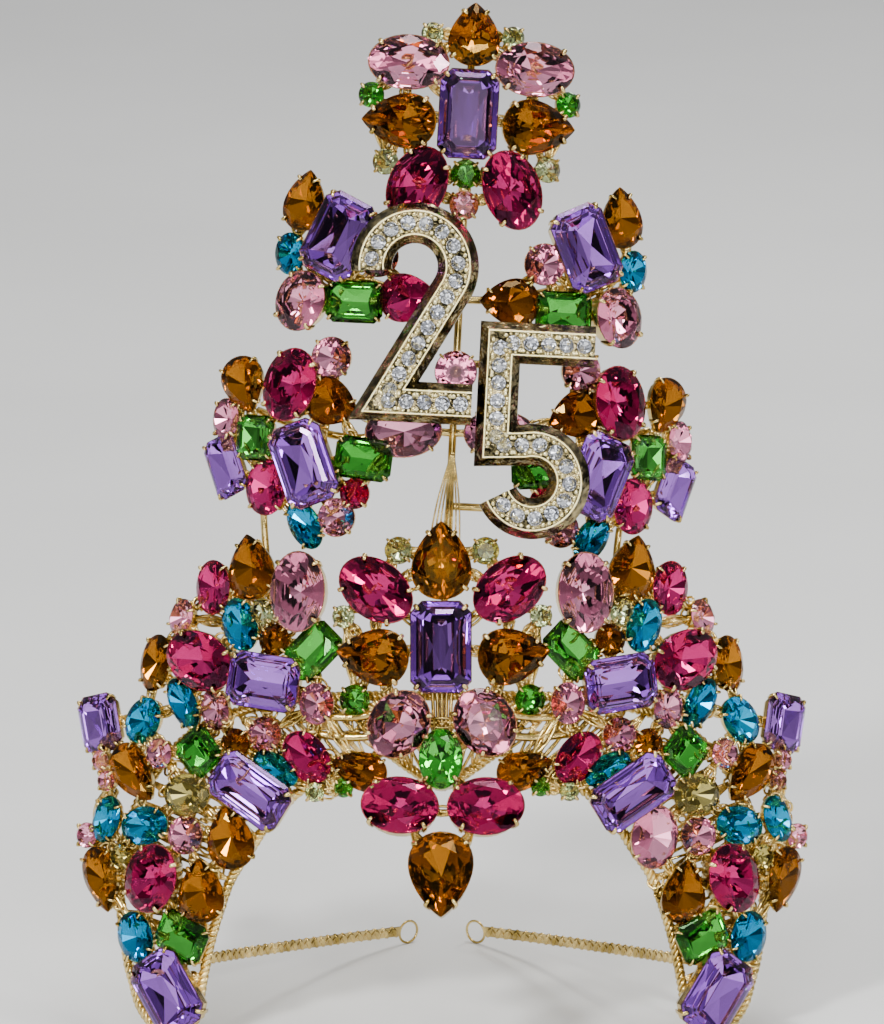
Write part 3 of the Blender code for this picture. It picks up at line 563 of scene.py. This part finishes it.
# A stone's glass, darkest and lightest, and the foil on its pavilion
GEM_COLOURS = {
    BROWN: ((0.23, 0.10, 0.015), (0.56, 0.31, 0.06), (0.84, 0.57, 0.20)),
    PINK: ((0.98, 0.50, 0.66), (1.0, 0.64, 0.77), (1.0, 0.66, 0.78)),
    ROSE: ((0.58, 0.05, 0.22), (0.78, 0.14, 0.39), (0.88, 0.26, 0.55)),
    PURPLE: ((0.52, 0.25, 0.84), (0.74, 0.47, 0.93), (0.73, 0.51, 0.94)),
    GREEN: ((0.12, 0.50, 0.10), (0.32, 0.73, 0.27), (0.40, 0.81, 0.34)),
    PALE: ((0.80, 0.88, 0.60), (0.93, 0.96, 0.80), (0.90, 0.94, 0.72)),
    BLUE: ((0.01, 0.35, 0.56), (0.03, 0.56, 0.76), (0.07, 0.67, 0.87)),
    SMOKE: ((0.58, 0.52, 0.22), (0.74, 0.68, 0.38), (0.76, 0.70, 0.42)),
    CLEAR: ((0.88, 0.91, 1.0), (1.0, 1.0, 1.0), (0.97, 0.98, 1.0)),
}
GLASS_BEND, GLASS_SHINE, FOIL_SHADE, FOIL_METAL, WHITE_METAL = 1.5, 0.3, 0.88, 1.0, 0.93


def gem_finishes(colour):
    """The cut glass of a stone's crown, each stone in its own shade, and its pavilion's foil."""
    dark, light, back = GEM_COLOURS[colour]
    glass, shader = new_material(f"gem_{colour}", light, 0.0)
    set_inputs(shader, {"Transmission Weight": 1.0, "IOR": GLASS_BEND,
                        "Specular IOR Level": GLASS_SHINE, "Specular Tint": (*light, 1)})
    links = glass.node_tree.links
    island = new_node(glass, "NewGeometry", {})
    ramp = new_ramp(glass, ((0.0, dark), (1.0, light)))
    links.new(island.outputs["Random Per Island"], ramp.inputs["Fac"])
    links.new(ramp.outputs["Color"], shader.inputs["Base Color"])
    metal = WHITE_METAL if colour == CLEAR else FOIL_METAL
    foil, shader = new_material(f"foil_{colour}", back, 0.03, metal)
    mottle(foil, shader, [FOIL_SHADE * value for value in back], back, scale=60,
           low=0.3, high=0.7, detail=0.0)
    return glass, foil


# The numerals' walls are painted dark as shade, and their rims and pins pale as lit
GOLD, WALL_SHADED_GOLD, PAVE_LIT_GOLD = gold_finish(), shaded_wall_material(), lit_pave_material()
GEMS = {colour: gem_finishes(colour) for colour in GEM_COLOURS}


# Cut stones

def outline(shape, length, width, count):
    """Points round a stone's girdle, long axis along y, a pear's point at +y."""
    if shape == OCTAGON:
        x, y = width / 2, length / 2
        cut = CORNER_CUT * width
        half = [(x - cut, y), (x, y - cut), (x, cut - y), (x - cut, -y)]
        return [Vector(p) for p in half] + [Vector((-x0, y0)) for x0, y0 in reversed(half)]
    points = []
    for turn in full_turn(count):
        x = math.sin(turn)
        if shape == PEAR:
            # A full teardrop: 0.82 is the largest value of sin(t) sin(t / 2) ** 0.7
            x *= abs(math.sin(turn / 2)) ** 0.7 / 0.82
        points.append(Vector((x * width / 2, math.cos(turn) * length / 2)))
    return points


def girdle_of(stone, count, grow=0.0):
    """The girdle's outline, moved out by this many millimetres."""
    return outline(stone.shape, stone.length * STONE_FIT + 2 * grow,
                   stone.width * STONE_FIT + 2 * grow, count)


def at_height(points, share, height):
    """A flat outline, shrunk to this share of itself, at a height."""
    return [Vector((p.x * share, p.y * share, height)) for p in points]


def mix(low, high, share):
    return low + (high - low) * share


def brilliant(stone, heights):
    """Table, stars, kites and girdle facets above; kites and girdle facets down to a point."""
    fine = girdle_of(stone, 32)
    corner, between = fine[::4], fine[2::4]
    culet, girdle, table = heights.culet, heights.girdle, heights.table
    points = (at_height(corner, TABLE_SHARE, table)
              + at_height(between, STAR_SHARE, mix(girdle, table, STAR_RISE))
              + at_height(fine, 1.0, girdle + GIRDLE_HALF)
              + at_height(fine, 1.0, girdle - GIRDLE_HALF)
              + at_height(between, DEEP_SHARE, mix(culet, girdle, DEEP_RISE))
              + [Vector((0, 0, culet))])
    # Index of the first point of each ring
    top, star, high, low, deep, tip = 0, 8, 16, 48, 80, 88
    crown, pavilion = [tuple(range(top + 7, top - 1, -1))], []
    for k in range(8):
        following, before = (k + 1) % 8, (k - 1) % 8
        crown.append((top + k, top + following, star + k))
        crown.append((top + k, star + k, high + 4 * k, star + before))
        pavilion.append((tip, deep + before, low + 4 * k, deep + k))
        for n in range(4):
            here, there = (4 * k + n) % 32, (4 * k + n + 1) % 32
            crown.append((star + k, high + there, high + here))
            crown.append((high + here, high + there, low + there, low + here))
            pavilion.append((deep + k, low + here, low + there))
    return points, crown, pavilion


def step_cut(stone, heights):
    """Even steps round a long table above, and a step below with slanted ends and a keel."""
    culet, girdle, table = heights.culet, heights.girdle, heights.table
    step = stone.width / 18
    # Each ring: how far out from the girdle, in steps, and its height
    rows = ((-3.7, table), (-2.5, mix(girdle, table, 0.84)), (-1.2, mix(girdle, table, 0.50)),
            (0, girdle + GIRDLE_HALF), (0, girdle - GIRDLE_HALF), (-2.6, mix(culet, girdle, 0.52)))
    rings = [at_height(girdle_of(stone, 8, out * step), 1.0, height) for out, height in rows]
    points, faces = lofted(rings, False)
    # Four bands of eight faces reach down to the girdle's lower edge
    crown = faces[:32] + [tuple(range(7, -1, -1))]
    pavilion = faces[32:]
    deep = len(points) - 8
    upper, lower, right, left = range(len(points), len(points) + 4)
    keel, bulge = stone.length * 0.22, points[deep].x * 0.60
    height = mix(culet, points[deep].z, 0.28)
    points += [Vector((0, keel, culet)), Vector((0, -keel, culet)),
               Vector((bulge, 0, height)), Vector((-bulge, 0, height))]
    # Corners 0 and 7 are at the upper end, 3 and 4 at the lower one
    for a, b, end in ((7, 0, upper), (0, 1, upper), (6, 7, upper), (2, 3, lower), (3, 4, lower),
                      (4, 5, lower)):
        pavilion.append((deep + a, deep + b, end))
    for middle, ring in ((right, (deep + 1, deep + 2, lower, upper)),
                         (left, (deep + 5, deep + 6, upper, lower))):
        pavilion += [(ring[n], ring[(n + 1) % 4], middle) for n in range(4)]
    return points, crown, pavilion


def add_stone(shape, seat):
    """A stone on its seat: glass is its first finish and foil its second."""
    cut = step_cut if seat.stone.shape == OCTAGON else brilliant
    points, crown, pavilion = cut(seat.stone, seat.heights)
    finish = [0] * len(crown) + [1] * len(pavilion)
    shape.add(points, crown + pavilion, seat.frame, finish)


# Settings

def add_cup(shape, seat):
    """A deep cup: rounded foot, nearly straight smooth wall, and a rim just under the girdle."""
    heights, stone = seat.heights, seat.stone
    count = 8 if stone.shape == OCTAGON else 24
    wall, high = heights.cup_wall, heights.girdle
    # Each row: share of the girdle's outline, and height
    rows = ((0.30, 0.45), (0.58, 0.08), (0.70, 0.0), (0.80, 0.14), (0.88, 0.20 * high),
            (0.94, 0.46 * high), (0.97, 0.76 * high), (0.985, 0.93 * high), (0.99, 0.97 * high))
    plain = girdle_of(stone, count)
    rings = [at_height(plain, share, height) for share, height in rows]
    inner = girdle_of(stone, count, -wall)
    rings += [at_height(inner, 0.985, 0.975 * high), at_height(inner, 0.95, 0.80 * high)]
    points, faces = lofted(rings, False)
    faces.append(tuple(reversed(range(count))))
    shape.add(points, faces, seat.frame, smooth=stone.shape != OCTAGON)


def claw_spots(stone):
    """Where the four claws meet the girdle, and the way out from it there."""
    girdle = girdle_of(stone, 24)
    if stone.shape == OCTAGON:
        pairs = [(girdle[n], girdle[n + 1]) for n in (0, 2, 4, 6)]
        middles = [(a + b) / 2 for a, b in pairs]
    else:
        spots = (3, 9, 15, 21)
        pairs = [(girdle[n - 1], girdle[n + 1]) for n in spots]
        middles = [girdle[n] for n in spots]
    ways = [(b - a).normalized() for a, b in pairs]
    return [(middle, Vector((-way.y, way.x))) for middle, way in zip(middles, ways)]


def add_claws(shape, seat):
    """Claws that rise from the cup's side and fold over the stone's edge to a round tip."""
    high, half = seat.heights.girdle, seat.heights.claw_width / 2
    rise = seat.heights.table - high
    for spot, out in claw_spots(seat.stone):
        side = Vector((-out.y, out.x))
        # Each row: distance out from the girdle, height, share of the width, thickness
        rows = ((-0.7, high * 0.30, 0.9, 0.30), (0.10, high * 0.70, 1.0, 0.40),
                (0.50, high + 0.1, 0.95, 0.42), (0.45, high + rise * 0.32, 0.9, 0.42),
                (-0.05, high + rise * 0.54, 0.85, 0.40), (-0.7, high + rise * 0.66, 0.8, 0.36),
                (-1.3, high + rise * 0.70, 0.5, 0.22))
        rings = []
        for index, (reach, height, share, thick) in enumerate(rows):
            ahead = rows[min(index + 1, len(rows) - 1)]
            behind = rows[max(index - 1, 0)]
            slope = Vector((ahead[0] - behind[0], ahead[1] - behind[1])).normalized()
            # The claw's outer face looks along the normal of its own path
            away = Vector((slope.y, -slope.x))
            ring = []
            for t in full_turn(8):
                across, through = half * share * math.cos(t), thick * math.sin(t)
                flat = spot + out * (reach + away.x * through) + side * across
                ring.append(Vector((flat.x, flat.y, height + away.y * through)))
            rings.append(ring)
        shape.add(*lofted(rings), seat.frame, smooth=True)


def strut_pairs(feet):
    """Pairs of feet to join: each to the nearest joined one, then close neighbours too."""
    joined, waiting, pairs = [0], list(range(1, len(feet))), []
    while waiting:
        near, far = min(((a, b) for a in joined for b in waiting),
                        key=lambda pair: (feet[pair[0]] - feet[pair[1]]).length)
        pairs.append((near, far))
        joined.append(far)
        waiting.remove(far)
    for a, foot in enumerate(feet):
        nearest = sorted(range(len(feet)), key=lambda b: (feet[b] - foot).length)[1:STRUT_MOST]
        for b in nearest:
            apart = (feet[b] - foot).length
            if apart < STRUT_REACH and (a, b) not in pairs and (b, a) not in pairs:
                pairs.append((a, b))
    return pairs


def add_tangle(shape, start, end, out):
    """Two thin wires bowed to both sides of a strut, and a small loop over its middle."""
    side = (end - start).cross(out).normalized()
    for bow in (-THIN_BOW, THIN_BOW):
        path = [start.lerp(end, n / 8) + (side * bow + out) * math.sin(math.pi * n / 8)
                for n in range(9)]
        shape.add_wire(path, THIN_WIRE, 6)
    turn = Matrix.Translation(start.lerp(end, random.uniform(0.4, 0.6)) + out)
    turn = turn @ Matrix.Rotation(random.uniform(0, math.pi), 4, random.choice("XYZ"))
    radius = random.uniform(LOOP_LEAST, LOOP_MOST)
    shape.add_wire(oval_path(turn, radius, radius), THIN_WIRE, 6, True)


def strut_end(seat, other):
    """Where a strut towards the other seat leaves this one's cup."""
    foot = seat.frame @ Vector((0, 0, STRUT_HEIGHT))
    towards = (other.frame @ Vector((0, 0, STRUT_HEIGHT)) - foot).normalized()
    return foot + towards * seat.stone.width * STRUT_START


def add_strut(shape, start, end, radius=STRUT_WIRE):
    """A solder wire, thicker where it meets the cups."""
    path = [start.lerp(end, n / 10) for n in range(11)]
    shape.add_wire(path, radius, taper=lambda t: 1 + STRUT_SWELL * abs(2 * t - 1) ** 3)


def wall_wire(points, spacing=3.0):
    """A smooth path through places on the wall."""
    return smooth_path([wall_point(*p) for p in points], spacing)


def nest_loop(spot, frame_there):
    """Path of an oval loop of thin wire, tipped at random, near a spot on another wire."""
    off = Vector((random.uniform(-NEST_OFF, NEST_OFF), random.uniform(-NEST_OFF, NEST_OFF), 0))
    place = Matrix.Translation(spot) @ frame_there.to_3x3().to_4x4()
    place = place @ Matrix.Translation(off) @ tipped(NEST_TIP)
    across, tall = random.uniform(NEST_LEAST, NEST_MOST), random.uniform(NEST_LEAST, NEST_MOST)
    return oval_path(place, across, tall)


def evenly(edge, count):
    """Points at even steps along an outline."""
    path = [Vector(p) for p in edge]
    length = sum((b - a).length for a, b in zip(path, path[1:]))
    return [along_path(path, length * n / count)[0] for n in range(count + 1)]


def lattice(side):
    """Ends of the thin wires between the rope's two edges, and the wall's frame there."""
    knots = []
    for inner, outer in zip(evenly(FACE_EDGE, LATTICE), evenly(OUTER_EDGE, LATTICE)):
        knots += [(side * inner.x, inner.y), (side * outer.x, outer.y)]
    return [(wall_point(*a, LATTICE_HEIGHT), wall_point(*b, LATTICE_HEIGHT), wall_frame(*a))
            for a, b in zip(knots[2:], knots[3:])]


def set_stones(metal, seats):
    """Cups, claws and main stones. Returns the small stones, in one shape for each colour."""
    colours = {}
    for seat in seats:
        add_cup(metal, seat)
        add_claws(metal, seat)
        if seat.stone.main:
            own = Shape()
            add_stone(own, seat)
            name = seat.stone.main + SIDE_NAMES[seat.side]
            own.make("cut_" + name, GEMS[seat.stone.colour], seat.stone.colour, name)
        else:
            add_stone(colours.setdefault(seat.stone.colour, Shape()), seat)
    return colours


def solder(metal, seats, wires, loops):
    """Solder wires between the cups, thin wires beside them and at other wires, and loops."""
    spans = []
    for a, b in strut_pairs([seat.frame.translation for seat in seats]):
        start, end = strut_end(seats[a], seats[b]), strut_end(seats[b], seats[a])
        add_strut(metal, start, end)
        add_tangle(metal, start, end, seats[a].frame.col[2].to_3d())
        spans.append((start, end, seats[a].frame))
    for start, end, place in wires:
        add_tangle(metal, start, end, place.col[2].to_3d())
        spans.append((start, end, place))
    for start, end, place in random.choices(spans, k=loops):
        metal.add_wire(nest_loop(start.lerp(end, random.random()), place), NEST_WIRE, 6, True)


def field(node, seats, extras=(), wires=(), loops=0):
    """A soldered group: its metal as one piece, each main stone as one, the others by colour."""
    metal = Shape()
    colours = set_stones(metal, seats)
    solder(metal, seats, wires, loops)
    for points, faces in extras:
        metal.add(points, faces, smooth=True)
    metal.make("metal_" + node, [GOLD], "gold", node)
    for colour, shape in sorted(colours.items()):
        shape.make(f"stones_{node}_{colour}", GEMS[colour], colour)


# Band, spine and wires

def foot_pad(side):
    """Frame of a leg tip's pad, between the rope's two ends."""
    tips = [wall_point(side * u, v, ROPE_DEPTH) for u, v in (FACE_EDGE[0], OUTER_EDGE[0])]
    centre = (tips[0] + tips[1]) / 2
    turn = math.atan2(tips[1].y - tips[0].y, tips[1].x - tips[0].x)
    return Matrix.Translation((centre.x, centre.y, 0)) @ Matrix.Rotation(turn, 4, "Z")


def rounded(value):
    """Turns a circle's sine or cosine into that of a square with round corners."""
    return math.copysign(abs(value) ** 0.5, value)


def band_rope():
    """The rope wire in one loop round the band and the legs, with a pad under each leg tip."""
    half = list(reversed(OUTER_EDGE)) + list(FACE_EDGE)
    mirrored = [(-u, v) for u, v in reversed(half[1:-1])]
    route = [wall_point(u, v, ROPE_DEPTH) for u, v in half + mirrored]
    path = smooth_path(route, ROPE_STEP, True)
    for point in path:
        point.z = max(point.z, ROPE_REACH + ROPE_WIRE)
    rope = Shape()
    for strand in rope_strands(path):
        rope.add_wire(strand, ROPE_WIRE, 6, True)
    rings = [[Vector((PAD_LENGTH * share * rounded(math.cos(t)),
                      PAD_WIDTH * share * rounded(math.sin(t)), height)) for t in full_turn(24)]
             for share, height in PAD_RINGS]
    for side in (-1, 1):
        rope.add(*lofted(rings), foot_pad(side), smooth=True)
    rope.make("rope_wire", [GOLD], "gold", "band_rope")


def spine():
    """The upright rod and its branches, the fan of thin wires below it, and its own stone."""
    metal = Shape()
    routes = [SPINE_ROD] + list(POST_BRANCHES)
    routes += [[(u * side, v) for u, v in route] for route in SPINE_BRANCHES for side in (-1, 1)]
    for route in routes:
        path = wall_wire([(*askew(u, v), SPINE_DEPTH) for u, v in route])
        metal.add_wire(path, SPINE_WIRE, 12)
    for index in range(FAN_WIRES):
        share = index / (FAN_WIRES - 1) - 0.5
        top = (FAN_TOP[0] + share * FAN_TOP_SPREAD, FAN_TOP[1])
        foot = (FAN_FOOT[0] + share * FAN_SPREAD, FAN_FOOT[1])
        middle = ((top[0] + foot[0]) / 2 + share * FAN_BULGE, (top[1] + foot[1]) / 2)
        path = wall_wire([(*askew(*spot), FAN_HEIGHT) for spot in (top, middle, foot)], 2.0)
        metal.add_wire(path, FAN_WIRE, 6)
    seat = seats_of(SPINE_STONE, (0,), lean=True)[0]
    add_cup(metal, seat)
    add_claws(metal, seat)
    ends = [seat.frame @ Vector((0, 0, height)) for height in STONE_ROD]
    add_strut(metal, *ends, SPINE_WIRE)
    metal.make("metal_spine", [GOLD], "gold", "spine")
    stone = Shape()
    add_stone(stone, seat)
    stone.make("stone_spine", GEMS[seat.stone.colour], seat.stone.colour)


def centre_wires():
    """The rods at both sides of the centre rosette, and the fins under its octagon."""
    made = [wire(wall_wire([(u * side, v, h) for u, v, h in rod]), ROD_WIRE, 10)
            for rod in CENTRE_RODS for side in (-1, 1)]
    for u in CENTRE_FINS:
        path = wall_wire([(u, FIN_TOP, FIN_HEIGHT), (u * FIN_GATHER, FIN_FOOT, FIN_HEIGHT)])
        made.append(wire(path, FIN_WIRE))
    return made


def side_strut(side):
    """The rod from a middle wing down to its side field."""
    u, v, h = SIDE_STRUT_TOP
    points = [(*askew(u * side, v), h)] + [(u * side, v, h) for u, v, h in SIDE_STRUT_ROUTE]
    return wire(wall_wire(points, 2.0), SIDE_STRUT_WIRE, 10)


# Rear bands

def rib(middle, lean, along, out):
    """A rounded bar of the braid, across its band at a slant."""
    rings = []
    for s in (-1, -0.86, -0.5, 0, 0.5, 0.86, 1):
        fat = math.sqrt(1.02 - s * s)
        rings.append([middle + lean * s * RIB_LENGTH / 2
                      + (along * math.cos(t) * RIB_WIDTH + out * math.sin(t) * RIB_THICK) * fat / 2
                      for t in full_turn(10)])
    return lofted(rings)


def rear_band(side):
    """A flat braid of slanted ribs on a core, soldered to a thin wire ring."""
    shift = Vector((0, -FRONT_TO_ORIGIN, 0))
    route = [wall_point(*BAND_START)] + [Vector(p) + shift for p in BAND_ROUTE]
    path = smooth_path(route, RIB_PITCH / BAND_STEPS)
    braid = Shape()
    core = []
    gone, ribs = RIB_PITCH, 0
    for index, point in enumerate(path):
        along = (path[min(index + 1, len(path) - 1)] - path[max(index - 1, 0)]).normalized()
        out = Vector((along.y, -along.x, 0)).normalized()
        up = out.cross(along)
        core.append([point + out * CORE_THICK * x + up * CORE_TALL * y
                     for x, y in ((-1, -1), (1, -1), (1, 1), (-1, 1))])
        if index:
            gone += (point - path[index - 1]).length
        if gone >= RIB_PITCH / 2 and index < len(path) - BARE_STEPS:
            gone -= RIB_PITCH / 2
            face = 1 if ribs % 2 else -1
            lean = up * math.cos(RIB_SLANT) - along * math.sin(RIB_SLANT) * face
            braid.add(*rib(point + out * RIB_OFF * face, lean, along, out), smooth=True)
            ribs += 1
    braid.add(*lofted(core[:-1:BAND_STEPS] + core[-1:]))
    centre = Vector((*RING_CENTRE, RING_OUTER / 2)) + shift
    upright = Matrix.Translation(centre) @ Matrix.Rotation(RING_YAW, 4, "Z")
    radius = (RING_OUTER - RING_WIRE) / 2
    ring = [upright @ Vector((radius * math.cos(t), 0, radius * math.sin(t)))
            for t in full_turn(36)]
    braid.add_wire(ring, RING_WIRE / 2, closed=True)
    name = "rear_band" + SIDE_NAMES[side]
    # The right band mirrors the left one
    if side > 0:
        braid.points = [Vector((-p.x, p.y, p.z)) for p in braid.points]
    braid.make("braid_" + name, [GOLD], "gold", name)


# Numerals

def arc(centre, radius, start, end, steps):
    """Points along an arc, between two angles in degrees."""
    turns = [math.radians(start + (end - start) * n / steps) for n in range(steps + 1)]
    return [Vector((centre[0] + radius * math.cos(a), centre[1] + radius * math.sin(a)))
            for a in turns]


def mitred(path):
    """The sideways direction at each point of a flat path, longer at a corner."""
    made = []
    for index, point in enumerate(path):
        before = (point - path[index - 1]).normalized() if index else None
        after = (path[index + 1] - point).normalized() if index + 1 < len(path) else None
        before, after = before or after, after or before
        along = (before + after).normalized()
        made.append(Vector((along.y, -along.x)) / max(along.dot(after), MITRE_LEAST))
    return made


def along_path(path, distance):
    """Point and direction this far along a flat path."""
    for a, b in zip(path, path[1:]):
        length = (b - a).length
        if distance <= length:
            return a.lerp(b, distance / length), (b - a).normalized()
        distance -= length
    return path[-1], (path[-1] - path[-2]).normalized()


def bead(radius):
    """Points and faces of a short six-sided pin with a round head."""
    around = full_turn(6)
    rings = [[Vector((radius * math.cos(a), radius * math.sin(a), -PIN_HEIGHT)) for a in around]]
    for t in (0, math.pi / 6, math.pi / 3):
        wide, high = radius * math.cos(t), radius * math.sin(t)
        rings.append([Vector((wide * math.cos(a), wide * math.sin(a), high)) for a in around])
    points, faces = lofted(rings, False)
    tip = len(points)
    points.append(Vector((0, 0, radius)))
    faces += [(tip - 6 + n, tip - 6 + (n + 1) % 6, tip) for n in range(6)]
    return points, faces


# Those edges of a stroke's section that are its rims, which take the pale gold of painted light
RIM_EDGES = (3, 4, 8, 9)


def stroke_section():
    """A stroke's section from foot to foot, as pairs of aside and height."""
    base, top, half = STROKE_WIDTH / 2, STROKE_DEPTH, PAVE_HALF
    left = ((-base + 0.6, 0), (-base, 0.5), (-base + 0.1, 1.6), (-half - 0.55, top - 0.25),
            (-half - 0.35, top), (-half, top), (-half + 0.15, top - PAVE_DEPTH))
    return left + tuple((-x, z) for x, z in reversed(left))


def add_stroke(metal, path, place):
    """Bevelled walls painted dark as shade, with rims painted pale as lit, round the channel for
    the stones.
    """
    section = stroke_section()
    rings = [[Vector((*(point + side * x), z)) for x, z in section]
             for point, side in zip(path, mitred(path))]
    points, faces = lofted(rings)
    count = len(section)
    finish = [1 if n % count in RIM_EDGES else 0 for n in range(len(faces) - 2)] + [0, 0]
    metal.add(points, faces, place, finish)


def add_posts(metal, posts, corner, place):
    """Posts from the spine or its branches to the stroke's back."""
    for spot in posts:
        foot = wall_point(*askew(*spot), 0)
        head = place @ Vector((spot[0] - corner[0], spot[1] - corner[1], 1.0))
        metal.add_wire([foot, foot.lerp(head, 0.5), head], POST_WIRE, 12)


def add_pave(metal, stones, path, place):
    """A row of clear stones along the channel, each with four large and four small pins."""
    floor = STROKE_DEPTH - PAVE_DEPTH
    length = sum((b - a).length for a, b in zip(path, path[1:]))
    shown = Stone("pave", ROUND, 0, 0, PAVE_STONE, PAVE_STONE, 0, CLEAR)
    points, crown, pavilion = brilliant(shown, Heights(-PAVE_UNDER, 0, PAVE_OVER, 0, 0))
    finish = [0] * len(crown) + [1] * len(pavilion)
    number = round((length - 2 * PAVE_HALF) / PAVE_PITCH)
    pins = [(bead(radius), ahead, aside) for radius, ahead, aside in (LARGE_PIN, SMALL_PIN)]
    for n in range(number + 1):
        spot, along = along_path(path, PAVE_HALF + (length - 2 * PAVE_HALF) * n / number)
        turn = tipped(PAVE_TIP) @ Matrix.Rotation(random.uniform(0, PAVE_TURN), 4, "Z")
        seat = place @ Matrix.Translation((*spot, floor + PAVE_GIRDLE)) @ turn
        stones.add(points, crown + pavilion, seat, finish)
        side = Vector((along.y, -along.x))
        for a, b in ((-1, -1), (-1, 1), (1, -1), (1, 1)):
            for pin, ahead, aside in pins:
                at = spot + along * ahead * a + side * aside * b
                # Pins in the pale gold of painted light
                metal.add(*pin, place @ Matrix.Translation((*at, floor + PIN_HEIGHT)), 1, True)


def numeral(node, path, corner, posts):
    """A numeral with its walls, posts and pins as one piece, and its clear stones as another."""
    u, v = askew(*corner)
    place = (WALL @ Matrix.Translation((u, 0, v)) @ FACE @ Matrix.Rotation(ASKEW, 4, "Z")
             @ Matrix.Translation((0, 0, NUMERAL_BACK)))
    metal, stones = Shape(), Shape()
    add_stroke(metal, path, place)
    add_posts(metal, posts, corner, place)
    add_pave(metal, stones, path, place)
    # Walls in the dark gold of painted shade; rims and pins in the pale gold of painted light
    metal.make("walls_" + node, [WALL_SHADED_GOLD, PAVE_LIT_GOLD], "antique_gold", node)
    stones.make("pave_" + node, GEMS[CLEAR], CLEAR)


def build_crown():
    """Every piece of the crown. Their order sets the order of the random draws."""
    field("top_rosette", seats_of(TOP_ROSETTE, (-1, 1), lean=True))
    field("centre_rosette", seats_of(CENTRE_ROSETTE + CENTRE_FINE, (-1, 1))
          + seats_of(DROP, (-1, 1), drop=True), centre_wires())
    for side in (-1, 1):
        suffix = SIDE_NAMES[side]
        field("upper_wing" + suffix, seats_of(UPPER_WING, (side,), lean=True))
        field("middle_wing" + suffix, seats_of(MIDDLE_WING, (side,), lean=True),
              [side_strut(side)])
        field("side_field" + suffix, seats_of(SIDE_FIELD + SIDE_FINE, (side,)),
              wires=lattice(side), loops=NEST_LOOPS)
        rear_band(side)
    band_rope()
    spine()
    numeral("numeral_2", arc(**TWO_BOWL) + [Vector(p) for p in TWO_FOOT], TWO_CORNER, TWO_POSTS)
    numeral("numeral_5", [Vector(p) for p in FIVE_FLAG] + arc(**FIVE_BOWL), FIVE_CORNER, FIVE_POSTS)


# Studio

# The photo's scale and its crown's place in it: millimetres a pixel, the axis, the foot, the size
PIXEL = 0.3
AXIS_X, FOOT_Y, IMAGE_WIDTH, IMAGE_HEIGHT = 442, 1046, 884, 1024
SENSOR, CAMERA_AWAY = 36.0, 2400.0

# The sky's grey, from the horizon and below, at 0, to straight above, at 1
SKY_STOPS = ((0.0, 0.16), (0.2, 0.28), (0.3, 0.46), (0.45, 0.60), (0.66, 1.0), (1.0, 0.8))
SKY_TINT, SKY_STRENGTH = 1.03, 0.75
FLOOR_SIZE = 6

# Soft square lamps, all turned to one point: name, place and size in metres, and power in watts
LAMP_TARGET = Vector((0, 0, 0.15))
LAMPS = (
    ("key", (-0.7, -1.1, 1.3), 0.20, 26), ("fill", (1.2, -0.9, 0.7), 0.15, 7),
    ("top", (0.2, 0.1, 1.5), 0.5, 12), ("rim", (0.6, 1.2, 1.0), 0.4, 7),
    ("front", (0.15, -2.8, 1.0), 0.8, 8), ("glint_left", (-0.9, -1.6, 0.35), 0.12, 2.5),
    ("glint_right", (0.5, -1.8, 0.9), 0.12, 3), ("glint_middle", (-0.25, -1.9, 1.0), 0.10, 2.5),
    ("glint_low", (0.9, -1.5, 0.2), 0.10, 2), ("glint_high", (-0.1, -1.2, 1.6), 0.12, 3),
)


def sky():
    """Soft light from above that fades towards the horizon, so that facets find light and dark."""
    world = bpy.data.worlds.new("studio")
    bpy.context.scene.world = world
    world.use_nodes = True
    links, background = world.node_tree.links, world.node_tree.nodes["Background"]
    place, split = new_node(world, "TexCoord", {}), new_node(world, "SeparateXYZ", {})
    ramp = new_ramp(world, [(at, (grey, grey, grey * SKY_TINT)) for at, grey in SKY_STOPS])
    links.new(place.outputs["Generated"], split.inputs["Vector"])
    links.new(split.outputs["Z"], ramp.inputs["Fac"])
    links.new(ramp.outputs["Color"], background.inputs["Color"])
    set_inputs(background, {"Strength": SKY_STRENGTH})


def lamps():
    """The soft lamps, which the facets and wires catch."""
    for name, place, size, power in LAMPS:
        light = bpy.data.lights.new(name, "AREA")
        light.energy = power
        light.size = size
        lamp = put(name, light)
        lamp.location = place
        lamp.rotation_euler = (LAMP_TARGET - Vector(place)).to_track_quat("-Z", "Y").to_euler()


def studio():
    """A plain pale floor under soft light."""
    bpy.ops.mesh.primitive_plane_add(size=FLOOR_SIZE)
    floor = bpy.context.object
    floor.name = "floor"
    pale, shader = new_material("floor_pale", (0.72, 0.72, 0.70), 0.6)
    mottle(pale, shader, (0.69, 0.69, 0.67), (0.75, 0.75, 0.73), scale=3.0)
    floor.data.materials.append(pale)
    sky()
    lamps()


def camera():
    """The photo's view, square to the leaning wall."""
    across, up = (IMAGE_WIDTH / 2 - AXIS_X) * PIXEL, (FOOT_Y - IMAGE_HEIGHT / 2) * PIXEL
    target = WALL @ Vector((across, 0, up))
    back = Vector((0, -math.cos(WALL_LEAN), math.sin(WALL_LEAN)))
    lens = bpy.data.cameras.new("camera")
    lens.sensor_width = SENSOR
    lens.lens = SENSOR * CAMERA_AWAY / (IMAGE_HEIGHT * PIXEL)
    lens.clip_end = 50
    eye = put("camera", lens)
    eye.location = (target + back * CAMERA_AWAY) * MM
    eye.rotation_euler = (-back).to_track_quat("-Z", "Y").to_euler()
    bpy.context.scene.camera = eye


build_crown()
studio()
camera()
